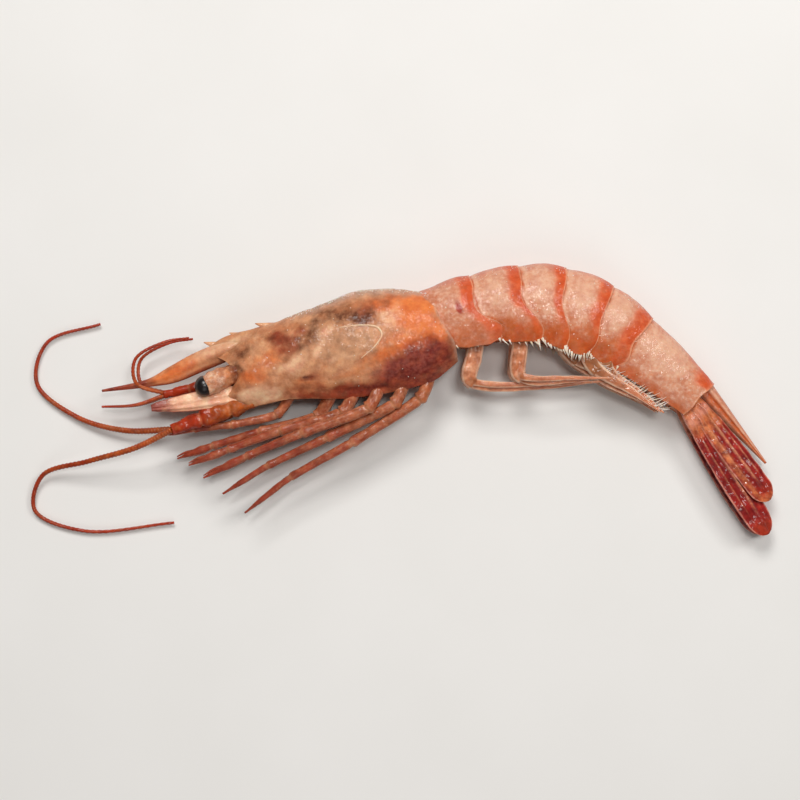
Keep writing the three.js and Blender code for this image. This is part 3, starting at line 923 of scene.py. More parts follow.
@dataclass(frozen=True)
class Carapace:
    """The head's shell with its rostrum, teeth, grooves and stains."""

    length: float = 48.8
    lower_front: float = -3.5
    lower_rear: float = 52.2
    nose: float = 0.08
    nose_lift: float = 0.24
    nose_drop: float = 0.084
    back: Profile = Profile((0, 0.27, 0.47, 0.65, 0.82, 0.96, 1), (9.2, 10.4, 12.1, 13.4, 12.5, 10.4, 9.3))
    belly: Profile = Profile((0, 0.15, 0.3, 0.5, 0.7, 0.88, 1), (-9.3, -8.7, -9.1, -11.3, -11.9, -11.3, -8))
    width: Profile = Profile((0, 0.2, 0.4, 0.62, 0.85, 1), (6.6, 7.5, 8.6, 9.3, 9.2, 8.7))
    arch: Arch = Arch(share=0.75, widest=0.56, roundness=2.1, edge=0.5, belly=0.06)
    sections: int = 140
    sides: int = 128
    # Stations of the mouth's recess and of the rear margin's lip: place along, and growth of the section.
    recess: tuple[Pair, ...] = (
        (0.11, -2.6), (0.08, -1.7), (0.05, -1.1), (0.02, -0.7), (0.005, -0.5), (-0.003, -0.28),
        (-0.004, -0.1),
    )
    lip: tuple[Pair, ...] = ((1.004, -0.06), (1.004, -0.24), (0.998, -0.36), (0.97, -0.55), (0.93, -1.0))
    # The front narrows under a roof that runs out into the rostrum, over a notch for each eye.
    roof_reach: float = 0.34
    roof_ridge: float = 0.22
    roof_forward: float = 4.5
    roof_low: float = 1.5
    roof_high: float = 6.5
    roof_narrowing: float = 0.75
    notch_depth: float = 2.6
    notch_v: float = -0.8
    notch_reach: float = 2.4
    spine_length: float = 1.6
    spine_v: float = -5.0
    spine_reach: float = 0.8
    front_share: float = 0.12
    rear_bulge: float = 0.9
    gill_swelling: float = 0.4
    oval_swelling: float = 0.25
    wrinkles: tuple[Pair, ...] = ((8, 0.3), (3.2, 0.16), (1.4, 0.07))
    grooves: tuple[Groove, ...] = (
        Groove(((28.9, -6.8), (34, -4.1), (40, -2.4), (46.5, -1.5)), 0.45, 0.9),
        Groove(((21, 11), (18.5, 5.5), (14.5, 1.2), (11, -1.5)), 0.4, 1.1),
        Groove(((20, -8.5), (26, -9.6), (34, -10.6)), 0.25, 0.8),
    )
    groove_points: int = 14
    # How far the stains drift, and over which length.
    warp: float = 1.5
    warp_size: float = 3.4
    rostrum: tuple[Pair, ...] = (
        (15, 8.2), (7, 7.2), (-1, 5.8), (-8, 4.5), (-15, 2.8), (-21, 2), (-32.5, 2.4),
    )
    rostrum_depth: Profile = Profile.even(1.2, 1.9, 2.4, 2.5, 2.1, 1, 0.3)
    rostrum_width: Profile = Profile.even(0.8, 1.4, 1.85, 1.45, 1.0, 0.7, 0.3)
    # The teeth's places along the rostrum, their feet above its line, and their tips forwards and upwards.
    teeth: tuple[float, ...] = (11, 4.5, -2)
    tooth_foot: float = 1.2
    tooth_tip: Pair = (4.2, 3.2)
    seam: tuple[Pair, ...] = (
        (26.5, 5.4), (31.6, 4.9), (35.4, 3.6), (36.1, 1.8), (34.3, -0.4), (30.2, -2.8),
    )
    seam_points: int = 24
    marks: tuple[Mark, ...] = (
        Mark.BARE, Mark.RUST, Mark.BLUSH, Mark.BRUISE, Mark.GILL, Mark.CREAM, Mark.RIM, Mark.SEAM,
    )

    def place(self, station: Pair, around: float) -> Spot:
        """Returns a point of the shell and its stains.

        Args:
            station: Place along the shell and growth of the section.
            around: Share of the way round, from the back.

        Returns:
            The point and its masks.
        """
        along, growth = station
        side, half = half_turn(around)
        depth, across = self.arch.at(half)
        blunt = max(0.0, 1 - along / self.nose) ** 2
        level = lerp(blunt * self.nose_drop, 1 - blunt * self.nose_lift, depth)
        u = lerp(along * self.length, lerp(self.lower_front, self.lower_rear, along), level)
        v = lerp(self.back.at(along) + growth, self.belly.at(along) - growth, level)
        width = (self.width.at(along) + growth) * (1 - blunt * self.nose_lift)
        roof = lerp(self.roof_ridge, 1, min(1.0, depth / self.arch.widest) ** 1.2)
        across = lerp(across, min(across, roof), smooth(self.roof_reach, 0.0, along))
        front = max(0.0, 1 - along / self.front_share)
        ahead = front * smooth(self.roof_low, self.roof_high, v) ** 1.5
        across *= 1 - self.roof_narrowing * ahead
        u -= self.roof_forward * ahead
        notch = self.notch_depth * bell(v, self.notch_v, self.notch_reach)
        spine = self.spine_length * bell(v, self.spine_v, self.spine_reach)
        u += front * smooth(0.35, 0.75, across) * (notch - spine)
        u += smooth(0.88, 1, along) * self.rear_bulge * bell(depth, 0.74, 0.22)
        point = HEAD.point(u, v, HEAD.middle + side * width * across)
        drift = noise.noise_vector(point / self.warp_size) * self.warp
        return point, self.stain(u + drift.x, v + drift.y, depth, along)

    def stain(self, u: float, v: float, depth: float, along: float) -> list[float]:
        """Returns the masks at a place of the shell.

        Args:
            u: Place along the shell, with the stains' drift.
            v: Place towards the back, with the stains' drift.
            depth: Place from the back to the lower edge.
            along: Share of the shell's length.

        Returns:
            The masks.
        """
        values = {mark.value: max(patch.at(u, v) for patch in patches) for mark, patches in STAINS.items()}
        frosted = smooth(0.12, 0.02, depth) * smooth(0.15, 0.5, along)
        return self.masks(**values, rim=max(0.8 * frosted, 0.6 * smooth(0.985, 1.0, along)))

    def masks(self, **values: float) -> list[float]:
        """Returns masks, which are named by kind and 0 where they aren't given."""
        return [values.get(mark.value, 0.0) for mark in self.marks]

    def relief(self, point: Vector, lines: Sequence[Sequence[Vector]]) -> float:
        """Returns the height of grooves, swellings and dents at a point of the shell.

        Args:
            point: The point.
            lines: Points along each groove, in the carapace's frame.

        Returns:
            How far the shell rises there.
        """
        u, v = HEAD.read(point)
        flat = Vector((u, v, 0))
        height = self.gill_swelling * STAINS[Mark.GILL][0].at(u, v)
        height += self.oval_swelling * STAINS[Mark.BARE][0].at(u, v)
        for groove, line in zip(self.grooves, lines):
            height -= groove.depth * bell(min((spot - flat).length for spot in line), 0, groove.reach)
        return height + dents(*self.wrinkles)(point)

    def build(self) -> BVHTree:
        """Builds the shell.

        Returns:
            A search tree of its surface.
        """
        skin = Skin(*self.marks)
        outer = ((number / (self.sections - 1), 0.0) for number in range(self.sections))
        stations = [*self.recess, *outer, *self.lip]
        skin.loft(len(stations), self.sides, lambda number, around: self.place(stations[number], around))
        lines = [head_line(*groove.line).samples(self.groove_points) for groove in self.grooves]
        skin.relief(lambda point: self.relief(point, lines))
        tree = BVHTree.FromBMesh(skin.mesh)
        self.add_rostrum(skin)
        self.add_seam(skin, tree)
        skin.finish("head_plate", Slot.HEAD_SHELL, HEAD_SHELL.material, "carapace")
        return tree

    def add_rostrum(self, skin: Skin) -> None:
        """Adds the rostrum, a ridged blade that points forwards, and its teeth.

        Args:
            skin: The shell's skin.
        """

        def half(place: float) -> Pair:
            """Returns the blade's half depth and half width."""
            return self.rostrum_depth.at(place), self.rostrum_width.at(place)

        def ridge(place: float, up: float, side: float) -> Pair:
            """Returns the growth that makes a rounded upper ridge and a hollow below it."""
            return 1.0, 1 + 0.35 * bell(up, 0.2, 0.35) - 0.2 * bell(up, -0.5, 0.3)

        def paint(place: float, angle: float) -> list[float]:
            """Returns the rostrum's masks.

            Args:
                place: Place along the rostrum.
                angle: Angle round it, from its upper edge.

            Returns:
                The masks in the shell's order.
            """
            up = math.cos(angle)
            tip = smooth(0.72, 0.92, place)
            return self.masks(
                rust=(1 - tip) * smooth(0.25, 0.7, place) * (0.5 + 0.5 * bell(up, 0.1, 0.5)),
                cream=smooth(0.75, 0.35, place) * 0.7 * smooth(-0.6, 0.4, up),
                blush=max(0.7 * smooth(-0.4, -0.85, up), 0.6 * tip),
                gill=tip * 0.75,
            )

        def tooth_half(place: float) -> Pair:
            """Returns a tooth's half depth and half width."""
            return lerp(1.4, 0.12, place), lerp(0.7, 0.12, place)

        path = Path(tuple(HEAD.point(u, v, HEAD.middle) for u, v in self.rostrum))
        Rod(path, half, HEAD.up, rings=90, sides=24, swell=ridge).draw(skin, paint)
        (start_u, start_v), _, (end_u, end_v) = self.rostrum[:3]
        for u in self.teeth:
            v = lerp(start_v, end_v, (start_u - u) / (start_u - end_u))
            ends = (u, v + self.tooth_foot), (u - self.tooth_tip[0], v + self.tooth_tip[1])
            tooth = Path(tuple(HEAD.point(*end, HEAD.middle) for end in ends))
            rod = Rod(tooth, tooth_half, HEAD.up, rings=8, sides=12)
            rod.draw(skin, lambda place, angle: self.masks(cream=0.6, rust=0.3))

    def add_seam(self, skin: Skin, tree: BVHTree) -> None:
        """Adds the thin pale line that lies on the shell round the bare oval.

        Args:
            skin: The shell's skin.
            tree: Search tree of the shell's surface.
        """

        def half(place: float) -> Pair:
            """Returns the line's radius, which thins towards both ends."""
            return (0.1 + 0.15 * math.sin(math.pi * place),) * 2

        flat = head_line(*self.seam).samples(self.seam_points)
        path = Path(tuple(tree.ray_cast(HEAD.point(u, v, OVERHEAD), -ACROSS)[0] for u, v, _ in flat))
        rod = Rod(path, half, HEAD.up, rings=60, sides=8)
        rod.draw(skin, lambda place, angle: self.masks(seam=1))


@dataclass(frozen=True)
class Section:
    """A section of the abdomen: its back and lower edge, half width, middle plane and way down."""

    dorsal: Vector
    ventral: Vector
    half_width: float
    middle: float
    down: Vector


@dataclass(frozen=True)
class Abdomen:
    """Six hinged rings, each of which overlaps the next, with lobes along their lower edges."""

    lengths: tuple[float, ...] = (10, 12, 11.7, 12.3, 12.3, 21.7)
    headings: tuple[float, ...] = (16.7, 11.5, -2.4, -20.5, -38.7, -46.7)
    height: Profile = Profile.even(16.4, 17.8, 19.4, 20, 18.3, 16, 10.8)
    width: Profile = Profile.even(8.7, 8.7, 8.6, 8.3, 7.7, 6.8, 5.2)
    sweep: Profile = Profile.even(0.09, 0.16, 0.2, 0.18, 0.14, 0.08, 0)
    rest_sink: float = 0.5
    tuck: float = 0.24
    flare: float = 0.1
    plump: float = 0.4
    arch: Arch = Arch(share=0.75, widest=0.6, roundness=2.2, edge=0.84, belly=0.16)
    sections: int = 46
    sides: int = 112
    hidden: float = 0.26
    # How far the rear margin runs forward at half depth and back at the lobe, for each ring.
    waists: tuple[float, ...] = (1.9, 2.2, 1.8, 0.4, 0.2, 0.4)
    lobes: tuple[float, ...] = (2.2, 2.0, 1.6, 1.4, 1.2, 0.2)
    # The ridge across each ring's belly: its place along the ring, its reach and its share of the height.
    bar_place: float = 0.42
    bar_reach: float = 0.1
    bar_height: float = 0.055
    # How pale the middle of each ring is painted: partly the pale flesh under the shell and partly a painted
    # highlight, paler on the rear rings to make up for the weaker light there.
    glows: tuple[float, ...] = (0.4, 0.75, 0.95, 1.0, 1.25, 1.6)
    # How far the stains drift along and across the ring, and over which length.
    warps: Pair = (0.06, 0.07)
    warp_size: float = 3.0
    wrinkles: tuple[Pair, ...] = ((5, 0.16), (1.9, 0.07), (0.9, 0.03))
    lip: tuple[Pair, ...] = ((1.008, 0.16), (1.01, 0.04), (1.0, -0.1), (0.95, -0.25), (0.88, -0.8))
    marks: tuple[Mark, ...] = (Mark.FLUSH, Mark.KEEL, Mark.BAND, Mark.BRUISE, Mark.CREAM, Mark.RIM)

    @property
    def count(self) -> int:
        """Number of rings."""
        return len(self.lengths)

    @cached_property
    def back_line(self) -> Path:
        """The line of the back through the hinges."""
        hinges = [HINGE]
        for length, degrees in zip(self.lengths, self.headings):
            hinges.append(hinges[-1] + heading(degrees) * length)
        return Path(tuple(hinges), tension=0.5)

    def section(self, place: float, extra: float = 0.0) -> Section:
        """Returns a section.

        Args:
            place: 0 at the first hinge and 1 at the last.
            extra: How much larger the section is made.

        Returns:
            The section.
        """
        height, width = self.height.at(place), self.width.at(place)
        tangent = self.back_line.tangent(place)
        down = turned(tangent, -90)
        dorsal = self.back_line.at(place)
        ventral = dorsal + down * height + tangent * (height * self.sweep.at(place))
        return Section(dorsal - down * extra, ventral, width + extra, width - self.rest_sink, down)

    def growth(self, along: float) -> float:
        """Returns how much a ring's section grows from its tucked front to its flared rear."""
        plump = self.plump * math.sin(math.pi * min(max(along, 0.0), 1.0))
        return lerp(-self.tuck, self.flare, smooth(-0.1, 1.0, along)) + plump

    def margin(self, index: int, depth: float) -> float:
        """Returns how far back a ring's rear margin runs at a depth, in millimetres."""
        lobe = self.lobes[index] * (smooth(0.5, 0.8, depth) - 0.6 * smooth(0.86, 1.0, depth))
        return lobe - self.waists[index] * bell(depth, 0.46, 0.22)

    def place(self, index: int, station: Pair, around: float) -> Spot:
        """Returns a point of a ring and its masks.

        Args:
            index: The ring, from 0.
            station: Place along the ring, and growth of its section.
            around: Share of the way round, from the back.

        Returns:
            The point and its masks.
        """
        along, growth = station
        side, half = half_turn(around)
        depth, across = self.arch.at(half)
        shift = max(along, 0.0) ** 2 * self.margin(index, depth) / self.lengths[index]
        section = self.section((index + along + shift) / self.count, growth)
        level = depth
        if index < self.count - 1:
            corner = 0.06 * smooth(0.7, 1.0, along) + 0.05 * smooth(0.3, 0.0, along)
            level *= 1 - corner * smooth(0.5, 1.0, depth)
        belly = smooth(self.arch.share, self.arch.share + 0.06, half)
        level += belly * self.bar_height * bell(along, self.bar_place, self.bar_reach)
        point = section.dorsal.lerp(section.ventral, level)
        point.z = section.middle + side * section.half_width * across
        drift = noise.noise_vector(point / self.warp_size)
        stain_along = along + self.warps[0] * drift.x * smooth(1.0, 0.9, along)
        stain_depth = depth + self.warps[1] * drift.y
        return point, self.stain(index, stain_along, stain_depth, half > self.arch.share)

    def stain(self, index: int, along: float, depth: float, under: bool) -> list[float]:
        """Returns the masks at a place of a ring.

        Args:
            index: The ring, from 0.
            along: Place along the ring.
            depth: Place from the back to the lower edge.
            under: Whether the place is on the belly.

        Returns:
            The masks.
        """
        first, last = index == 0, index == self.count - 1
        start = (0.54 if first else 0.6) - 0.08 * bell(depth, 0.42, 0.2)
        band = smooth(start, start + 0.3, along) * lerp(1.1, 0.6, smooth(0.45, 0.7, depth))
        flush = 0.95 * smooth(0.4, 0.94, depth)
        cream = spot = 0.0
        if first:
            flush = max(0.55 * smooth(0.35, 0.75, depth), 0.35 * smooth(0.3, 0.0, along))
            spot = 1.5 * bell(along, 0.5, 0.09) * bell(depth, 0.45, 0.09)
        if last:
            band = 1.2 * smooth(0.7, 0.9, along) * smooth(0.4, 0.18, depth)
            joint = smooth(0.22, 0.05, along) * smooth(0.3, 0.7, depth)
            flush = max(0.7 * smooth(0.66, 0.95, depth), 0.6 * joint)
        if under:
            flush = 0.12
            band *= 0.25
        if not first:
            edge = self.margin(index - 1, depth) / self.lengths[index]
            cream = 0.8 * bell(along, edge + 0.1, 0.06) * smooth(0.8, 0.55, depth)
            # Painted shadow: a thin darker orange-brown line just behind the rear margin of the ring in
            # front, where its lip overhangs this ring.
            flush = max(flush, 0.9 * bell(along, edge + 0.01, 0.03))
        if under:
            cream = 0.35 + 0.6 * bell(along, self.bar_place, self.bar_reach)
        keel = 0.9 * smooth(0.13, 0.0, depth)
        # Pale middle of each ring: partly pale flesh, partly a painted highlight, scaled per ring to even out
        # the light.
        middle = bell(along, 0.36, 0.36) * bell(depth, 0.3, 0.27)
        rim = smooth(0.965, 0.99, along) * (0.5 if last else 1)
        return [flush, keel, band, spot, max(cream, self.glows[index] * middle), rim]

    def build(self) -> list[BVHTree]:
        """Builds the rings.

        Returns:
            A search tree of each ring's surface.
        """
        places = [lerp(-self.hidden, 1, number / (self.sections - 1)) for number in range(self.sections)]
        stations = [*((place, self.growth(place)) for place in places), *self.lip]
        trees = []
        for index in range(self.count):
            skin = Skin(*self.marks)
            skin.loft(
                len(stations), self.sides, lambda number, around: self.place(index, stations[number], around)
            )
            skin.relief(dents(*self.wrinkles))
            trees.append(BVHTree.FromBMesh(skin.mesh))
            name, node = f"ring_plate_{index + 1}", f"abdomen_ring_{index + 1}"
            skin.finish(name, Slot.RING_SHELL, RING_SHELL.material, node)
        return trees


@dataclass(frozen=True)
class FanBlade:
    """One blade of the tail fan in the tail's frame."""

    name: str
    root: Pair
    tip: Pair
    outs: Pair
    floor_outs: Pair
    half_width: float
    spread: Pair
    tilt: float
    root_reach: float
    stripe: float


@dataclass(frozen=True)
class TailFan:
    """The telson and two ribbed blades on each side of it."""

    abdomen: Abdomen
    degrees: float = -53
    floor_tilt: float = 4
    telson_line: tuple[Pair, Pair] = ((-1.5, 2.7), (22.6, 4))
    blades: tuple[FanBlade, ...] = (
        FanBlade(
            "endopod", root=(-1.5, -1.3), tip=(30, -0.9), outs=(2.9, 2.1), floor_outs=(2.2, 1.2),
            half_width=3.35, spread=(0.1, 0.62), tilt=14, root_reach=0.4, stripe=0.9,
        ),
        FanBlade(
            "exopod", root=(-1.5, -3.4), tip=(36.4, -6.1), outs=(2.5, 1.9), floor_outs=(3.25, 2.9),
            half_width=3.6, spread=(0.1, 0.6), tilt=20, root_reach=0.32, stripe=0,
        ),
    )
    # Ribs of a blade: place across it, height and reach, cover and reach of its paint.
    ribs: Line = ((0.08, 0.9, 0.11, 1, 0.1), (-0.5, 0.35, 0.1, 0.6, 0.08), (0.58, 0.3, 0.1, 0.6, 0.08))
    marks: tuple[Mark, ...] = (Mark.ALONG, Mark.JOINT, Mark.RIB, Mark.EDGE)

    def spot(self, place: Pair, out: float) -> Vector:
        """Returns a point in the tail's frame.

        Args:
            place: Place along the tail and towards the back.
            out: Distance out to the side.

        Returns:
            The point.
        """
        end = self.abdomen.section(1)
        origin = end.dorsal.lerp(end.ventral, 0.5)
        flat = origin + heading(self.degrees) * place[0] + heading(self.degrees + 90) * place[1]
        return Vector((flat.x, flat.y, end.middle + out))

    def build(self) -> None:
        """Builds the telson and the blades."""
        self.build_telson()
        for side in Side:
            for blade in self.blades:
                self.build_blade(blade, side)

    def build_telson(self) -> None:
        """Builds the telson, a pointed wedge with a groove along its upper edge."""

        def half(place: float) -> Pair:
            """Returns the telson's half width and half depth."""
            return lerp(3.2, 0.3, place**1.3), lerp(2.5, 0.3, place)

        def grooves(place: float, across: float, up: float) -> Pair:
            """Returns the growth that cuts a groove between two ridges."""
            ridges = 0.08 * bell(up, 0.35, 0.2) + 0.06 * bell(up, -0.5, 0.2)
            return 1 - 0.2 * bell(up, -0.1, 0.16) + ridges, 1.0

        def paint(place: float, angle: float) -> list[float]:
            """Returns the telson's masks."""
            groove, ridge = bell(math.sin(angle), -0.1, 0.2), bell(math.sin(angle), 0.35, 0.2)
            return [0.45 + 0.5 * groove, 0.0, 0.35 * smooth(0.7, 1, place), 0.0, 0.8 * ridge, 0.3 * ridge]

        skin = Skin(*self.abdomen.marks)
        path = Path(tuple(self.spot(place, 0) for place in self.telson_line))
        Rod(path, half, ACROSS, rings=50, sides=40, swell=grooves).draw(skin, paint)
        skin.finish("telson_wedge", Slot.RING_SHELL, RING_SHELL.material, "telson")

    def build_blade(self, blade: FanBlade, side: Side) -> None:
        """Builds one blade.

        Args:
            blade: Its sizes.
            side: The side that it is on.
        """
        outs, tilt = (blade.outs, blade.tilt) if side is Side.LEFT else (blade.floor_outs, self.floor_tilt)
        ends = zip((blade.root, blade.tip), outs)
        path = Path(tuple(self.spot(place, side.value * out) for place, out in ends))
        turn = Matrix.Rotation(-side.value * math.radians(tilt), 3, heading(self.degrees))

        def half(place: float) -> Pair:
            """Returns the blade's half width and half thickness, with a swollen root and a rounded tip.

            Args:
                place: Place along the blade.

            Returns:
                The half width and the half thickness.
            """
            knuckle = 0.8 * bell(place, 0.12, 0.07)
            blunt = math.sqrt(max(0.02, 1 - max(0.0, (place - 0.88) / 0.12) ** 2))
            wide = blade.half_width * leaf_spread(place, *blade.spread)
            return wide * blunt, (lerp(0.8, 0.36, place) + knuckle) * max(0.25, blunt)

        def swell(place: float, across: float, up: float) -> Pair:
            """Returns the growth that gives a strong middle rib, weaker side ribs and fine lines."""
            rise = sum(height * bell(across, at, reach) for at, height, reach, _, _ in self.ribs)
            return 1.0, 1 + (rise + 0.1 * math.sin(34 * across)) * smooth(0.04, 0.2, place)

        def paint(place: float, angle: float) -> list[float]:
            """Returns the blade's masks: its tip, its root with the stripe, its ribs, and its pale edges with
            a painted highlight on the swollen root.

            Args:
                place: Place along the blade.
                angle: Angle round it, from one edge.

            Returns:
                The masks in that order.
            """
            across = math.cos(angle)
            rib = sum(cover * bell(across, at, reach) for at, _, _, cover, reach in self.ribs)
            root = max(
                smooth(blade.root_reach, 0.4 * blade.root_reach, place),
                blade.stripe * lerp(1, 0.5, place) * bell(across, -0.6, 0.3),
                0.7 * blade.stripe * smooth(0.9, 1, place),
            )
            # Pale edges, and a painted highlight on the swollen root near the base.
            pale = max(smooth(0.85, 0.98, abs(across)), 0.75 * bell(place, 0.13, 0.05))
            return [smooth(0.8, 1, place), root, rib * smooth(1, 0.6, place), pale]

        skin = Skin(*self.marks)
        flat = turn @ heading(self.degrees + 90)
        Rod(path, half, flat, rings=80, sides=72, swell=swell).draw(skin, paint)
        skin.relief(dents((3.6, 0.2), (1.5, 0.09)))
        name = f"{side.word}_{blade.name}"
        skin.finish(f"fan_{name}", Slot.FAN, FAN_BLADE.material, f"uropod_{name}")


@dataclass(frozen=True)
class HeadLimbs:
    """Eyes, feelers, scales, mouth limbs and walking legs, which all point forwards.

    Places are in the carapace's frame, as u, v and the distance out to the side.
    """

    eye_spot: tuple[float, ...] = (-7.6, -1.6, 5.6)
    eye_radius: float = 2.5
    eye_squash: tuple[float, ...] = (0.94, 1, 0.96)
    eye_cup: Profile = Profile((0, 0.25, 0.45, 0.65, 0.82, 0.93), (1.5, 2.0, 2.3, 2.6, 2.75, 2.5))
    eye_cup_root: tuple[float, ...] = (3.5, 0.8, 2.4)
    # A short feeler's stalk, and its two whips.
    short_stalk: Line = ((1.5, -0.7, 1.9), (-17.8, -1.6, 2.1))
    short_whips: tuple[Line, Line] = (
        ((-17, -1.6, 2.1), (-25, -2.6, 2.4), (-33, -1.4, 2.2)),
        ((-17, -1.6, 2.1), (-23.5, 2.4, 4.2), (-22.5, 8, 4.6), (-15, 10.6, 4.4), (-9, 10.4, 4)),
    )
    # A long feeler's stalk, and the points that each whip follows, from the hinge behind the head.
    long_stalk: Line = ((5, -6.8, 2.8), (-17.6, -10.2, 3.8))
    left_whip: Line = (
        (-70, -38.4, 10.5), (-82, -41.8, 6.5), (-94, -45.5, 2.5),
        (-96, -54, 1.2), (-84, -59, 1.2), (-62, -57, 1.2),
    )
    right_whip: Line = (
        (-74, -34.4, 3.4), (-86, -31, 1.6), (-95.5, -23, 1.2), (-93, -13, 1.2), (-80, -8.5, 1.2),
    )
    stalk_joints: Pair = (0.36, 0.68)
    scale_line: Line = ((5, -5.4, 2.6), (-21, -4.2, 6.2))
    # The mouth limb: its root, distance out, and its articles' lengths and degrees downwards.
    mouth_root: Pair = (13, -6.6)
    mouth_out: float = 1.7
    mouth_lengths: tuple[float, ...] = (7.6, 11, 9, 8)
    mouth_headings: tuple[float, ...] = (42, 1, -5, -1)
    # The legs: the first one's root and articles, what each later pair adds, and degrees downwards by pair.
    leg_root: Pair = (22, -8.6)
    leg_spacing: float = 6
    leg_lengths: tuple[float, ...] = (7.8, 14, 12, 9)
    leg_steps: tuple[float, ...] = (0, 1.3, 1.2, 1.2)
    leg_headings: Line = (
        (46, 3, 5, 8), (48, 5, 8, 10), (51, 9, 11, 15), (54, 15, 14, 20), (56, 21, 18, 26),
    )
    leg_outs: tuple[float, ...] = (1.7, 4.3, 6.6, 5.2, 4.4)
    leg_root_out: float = 3.4
    left_sag: float = 0.7
    leg_joints: tuple[float, ...] = (0.25, 0.5, 0.75)
    pincer_pairs: int = 3

    def line(self, places: Sequence[Sequence[float]], side: Side) -> Path:
        """Returns a line through places of the carapace's frame on one side."""
        return Path(tuple(HEAD.spot(place, side) for place in places))

    def build_eyes(self) -> None:
        """Builds the eyes on their stalks."""
        for side in Side:
            skin = Skin()
            ball = bmesh.ops.create_uvsphere(skin.mesh, u_segments=40, v_segments=28, radius=self.eye_radius)
            bmesh.ops.scale(skin.mesh, vec=self.eye_squash, verts=ball["verts"])
            bmesh.ops.translate(skin.mesh, vec=HEAD.spot(self.eye_spot, side), verts=ball["verts"])
            skin.finish(f"cornea_{side.word}", Slot.EYE, CORNEA.material, f"eye_{side.word}")
            skin = Skin(Mark.ALONG, Mark.JOINT)
            path = self.line((self.eye_cup_root, self.eye_spot), side)
            radius = self.eye_cup.at
            rod = Rod(path, lambda place: (radius(place),) * 2, HEAD.up, rings=30, sides=24, end=0.98)
            # The first mask paints shade at the root inside the notch; the second paints pale highlights
            # towards the eye.
            rod.draw(skin, lambda place, angle: [smooth(0.6, 0.25, place), 0.5 * smooth(0.4, 0.8, place)])
            skin.relief(dents((1.7, 0.45), (0.8, 0.22)))
            material = EYESTALK_SHELL.material
            skin.finish(f"eye_cup_{side.word}", Slot.LIMB, material, f"eyestalk_{side.word}")

    def stalk(self, path: Path, sizes: Profile) -> Skin:
        """Starts a feeler with its thick jointed first part.

        Args:
            path: Its line.
            sizes: Its radius along it.

        Returns:
            The feeler's skin.
        """

        def half(place: float) -> Pair:
            """Returns the half sizes, swollen before each joint and pinched at it.

            Args:
                place: Place along the stalk.

            Returns:
                The half sizes along the head's upward direction and across it.
            """
            knuckles = (0.16 * bell(place, at - 0.06, 0.05) for at in self.stalk_joints)
            pinches = (0.2 * bell(place, at, 0.018) for at in self.stalk_joints)
            radius = sizes.at(place) * (1 + sum(knuckles) - sum(pinches))
            return radius * 1.1, radius * 0.9

        def paint(place: float, angle: float) -> list[float]:
            """Returns the stalk's masks."""
            return [smooth(0.3, 0.8, place), max(bell(place, at, 0.018) for at in self.stalk_joints)]

        skin = Skin(Mark.ALONG, Mark.JOINT)
        Rod(path, half, HEAD.up, rings=60, sides=24).draw(skin, paint)
        skin.relief(dents((2.1, 0.34), (0.9, 0.18)))
        return skin

    def whip(self, skin: Skin, path: Path, radii: Pair, rings: int) -> None:
        """Draws a ringed whip that thins towards its tip.

        Args:
            skin: The skin to draw on.
            path: Its line.
            radii: Radius at its root and at its tip.
            rings: Number of sections; every fourth one is a swollen ring.
        """

        def half(place: float) -> Pair:
            """Returns the radius with its ringed swelling."""
            ringed = 1 + 0.09 * math.sin(math.pi / 2 * round(place * (rings - 1)))
            return (lerp(*radii, place) * ringed,) * 2

        Rod(path, half, HEAD.up, rings, sides=10).draw(skin, lambda place, angle: [0.25 + 0.75 * place, 0.0])

    def build_feelers(self) -> None:
        """Builds the antennules, the antennae and their scales."""
        material = FEELER_SHELL.material
        for side in Side:
            skin = self.stalk(self.line(self.short_stalk, side), Profile.even(1.45, 0.8))
            for places in self.short_whips:
                self.whip(skin, self.line(places, side), radii=(0.52, 0.28), rings=121)
            skin.finish(f"short_feeler_{side.word}", Slot.WHIP, material, f"antennule_{side.word}")
            skin = self.stalk(self.line(self.long_stalk, side), Profile.even(1.4, 2.0, 1.15))
            places = self.left_whip if side is Side.LEFT else self.right_whip
            floor = (HINGE + Vector(place) for place in places)
            path = Path((HEAD.spot(self.long_stalk[1], side), *floor))
            self.whip(skin, path, radii=(0.78, 0.35), rings=321)
            skin.finish(f"long_feeler_{side.word}", Slot.WHIP, material, f"antenna_{side.word}")
            self.build_scale(side)

    def build_scale(self, side: Side) -> None:
        """Builds the leaf-shaped scale beside a feeler.

        Args:
            side: The side that it is on.
        """

        def half(place: float) -> Pair:
            """Returns the scale's half width and half thickness."""
            return 2.4 * leaf_spread(place, 0.2, 0.75), lerp(0.7, 0.4, place)

        def ribs(place: float, across: float, up: float) -> Pair:
            """Returns the growth that gives the scale a thick outer rib and fine lines."""
            rise = 0.9 * bell(across, -0.55, 0.14) + 0.5 * bell(across, 0.1, 0.1)
            return 1.0, 1 + rise + 0.12 * math.sin(26 * across)

        def paint(place: float, angle: float) -> list[float]:
            """Returns the scale's masks.

            Args:
                place: Place along the scale.
                angle: Angle round it, from one edge.

            Returns:
                The masks of its end, its ribs and its edges.
            """
            across = math.cos(angle)
            rib = bell(across, -0.55, 0.14) + 0.7 * bell(across, 0.1, 0.1)
            return [smooth(0.66, 1.0, place), rib * smooth(0.9, 0.5, place), smooth(0.85, 0.99, abs(across))]

        skin = Skin(Mark.ALONG, Mark.RIB, Mark.EDGE)
        Rod(self.line(self.scale_line, side), half, HEAD.up, rings=60, sides=48, swell=ribs).draw(skin, paint)
        skin.relief(dents((3, 0.2), (1.3, 0.08)))
        material = SCALE_SHELL.material
        skin.finish(f"scale_blade_{side.word}", Slot.LIMB, material, f"antennal_scale_{side.word}")

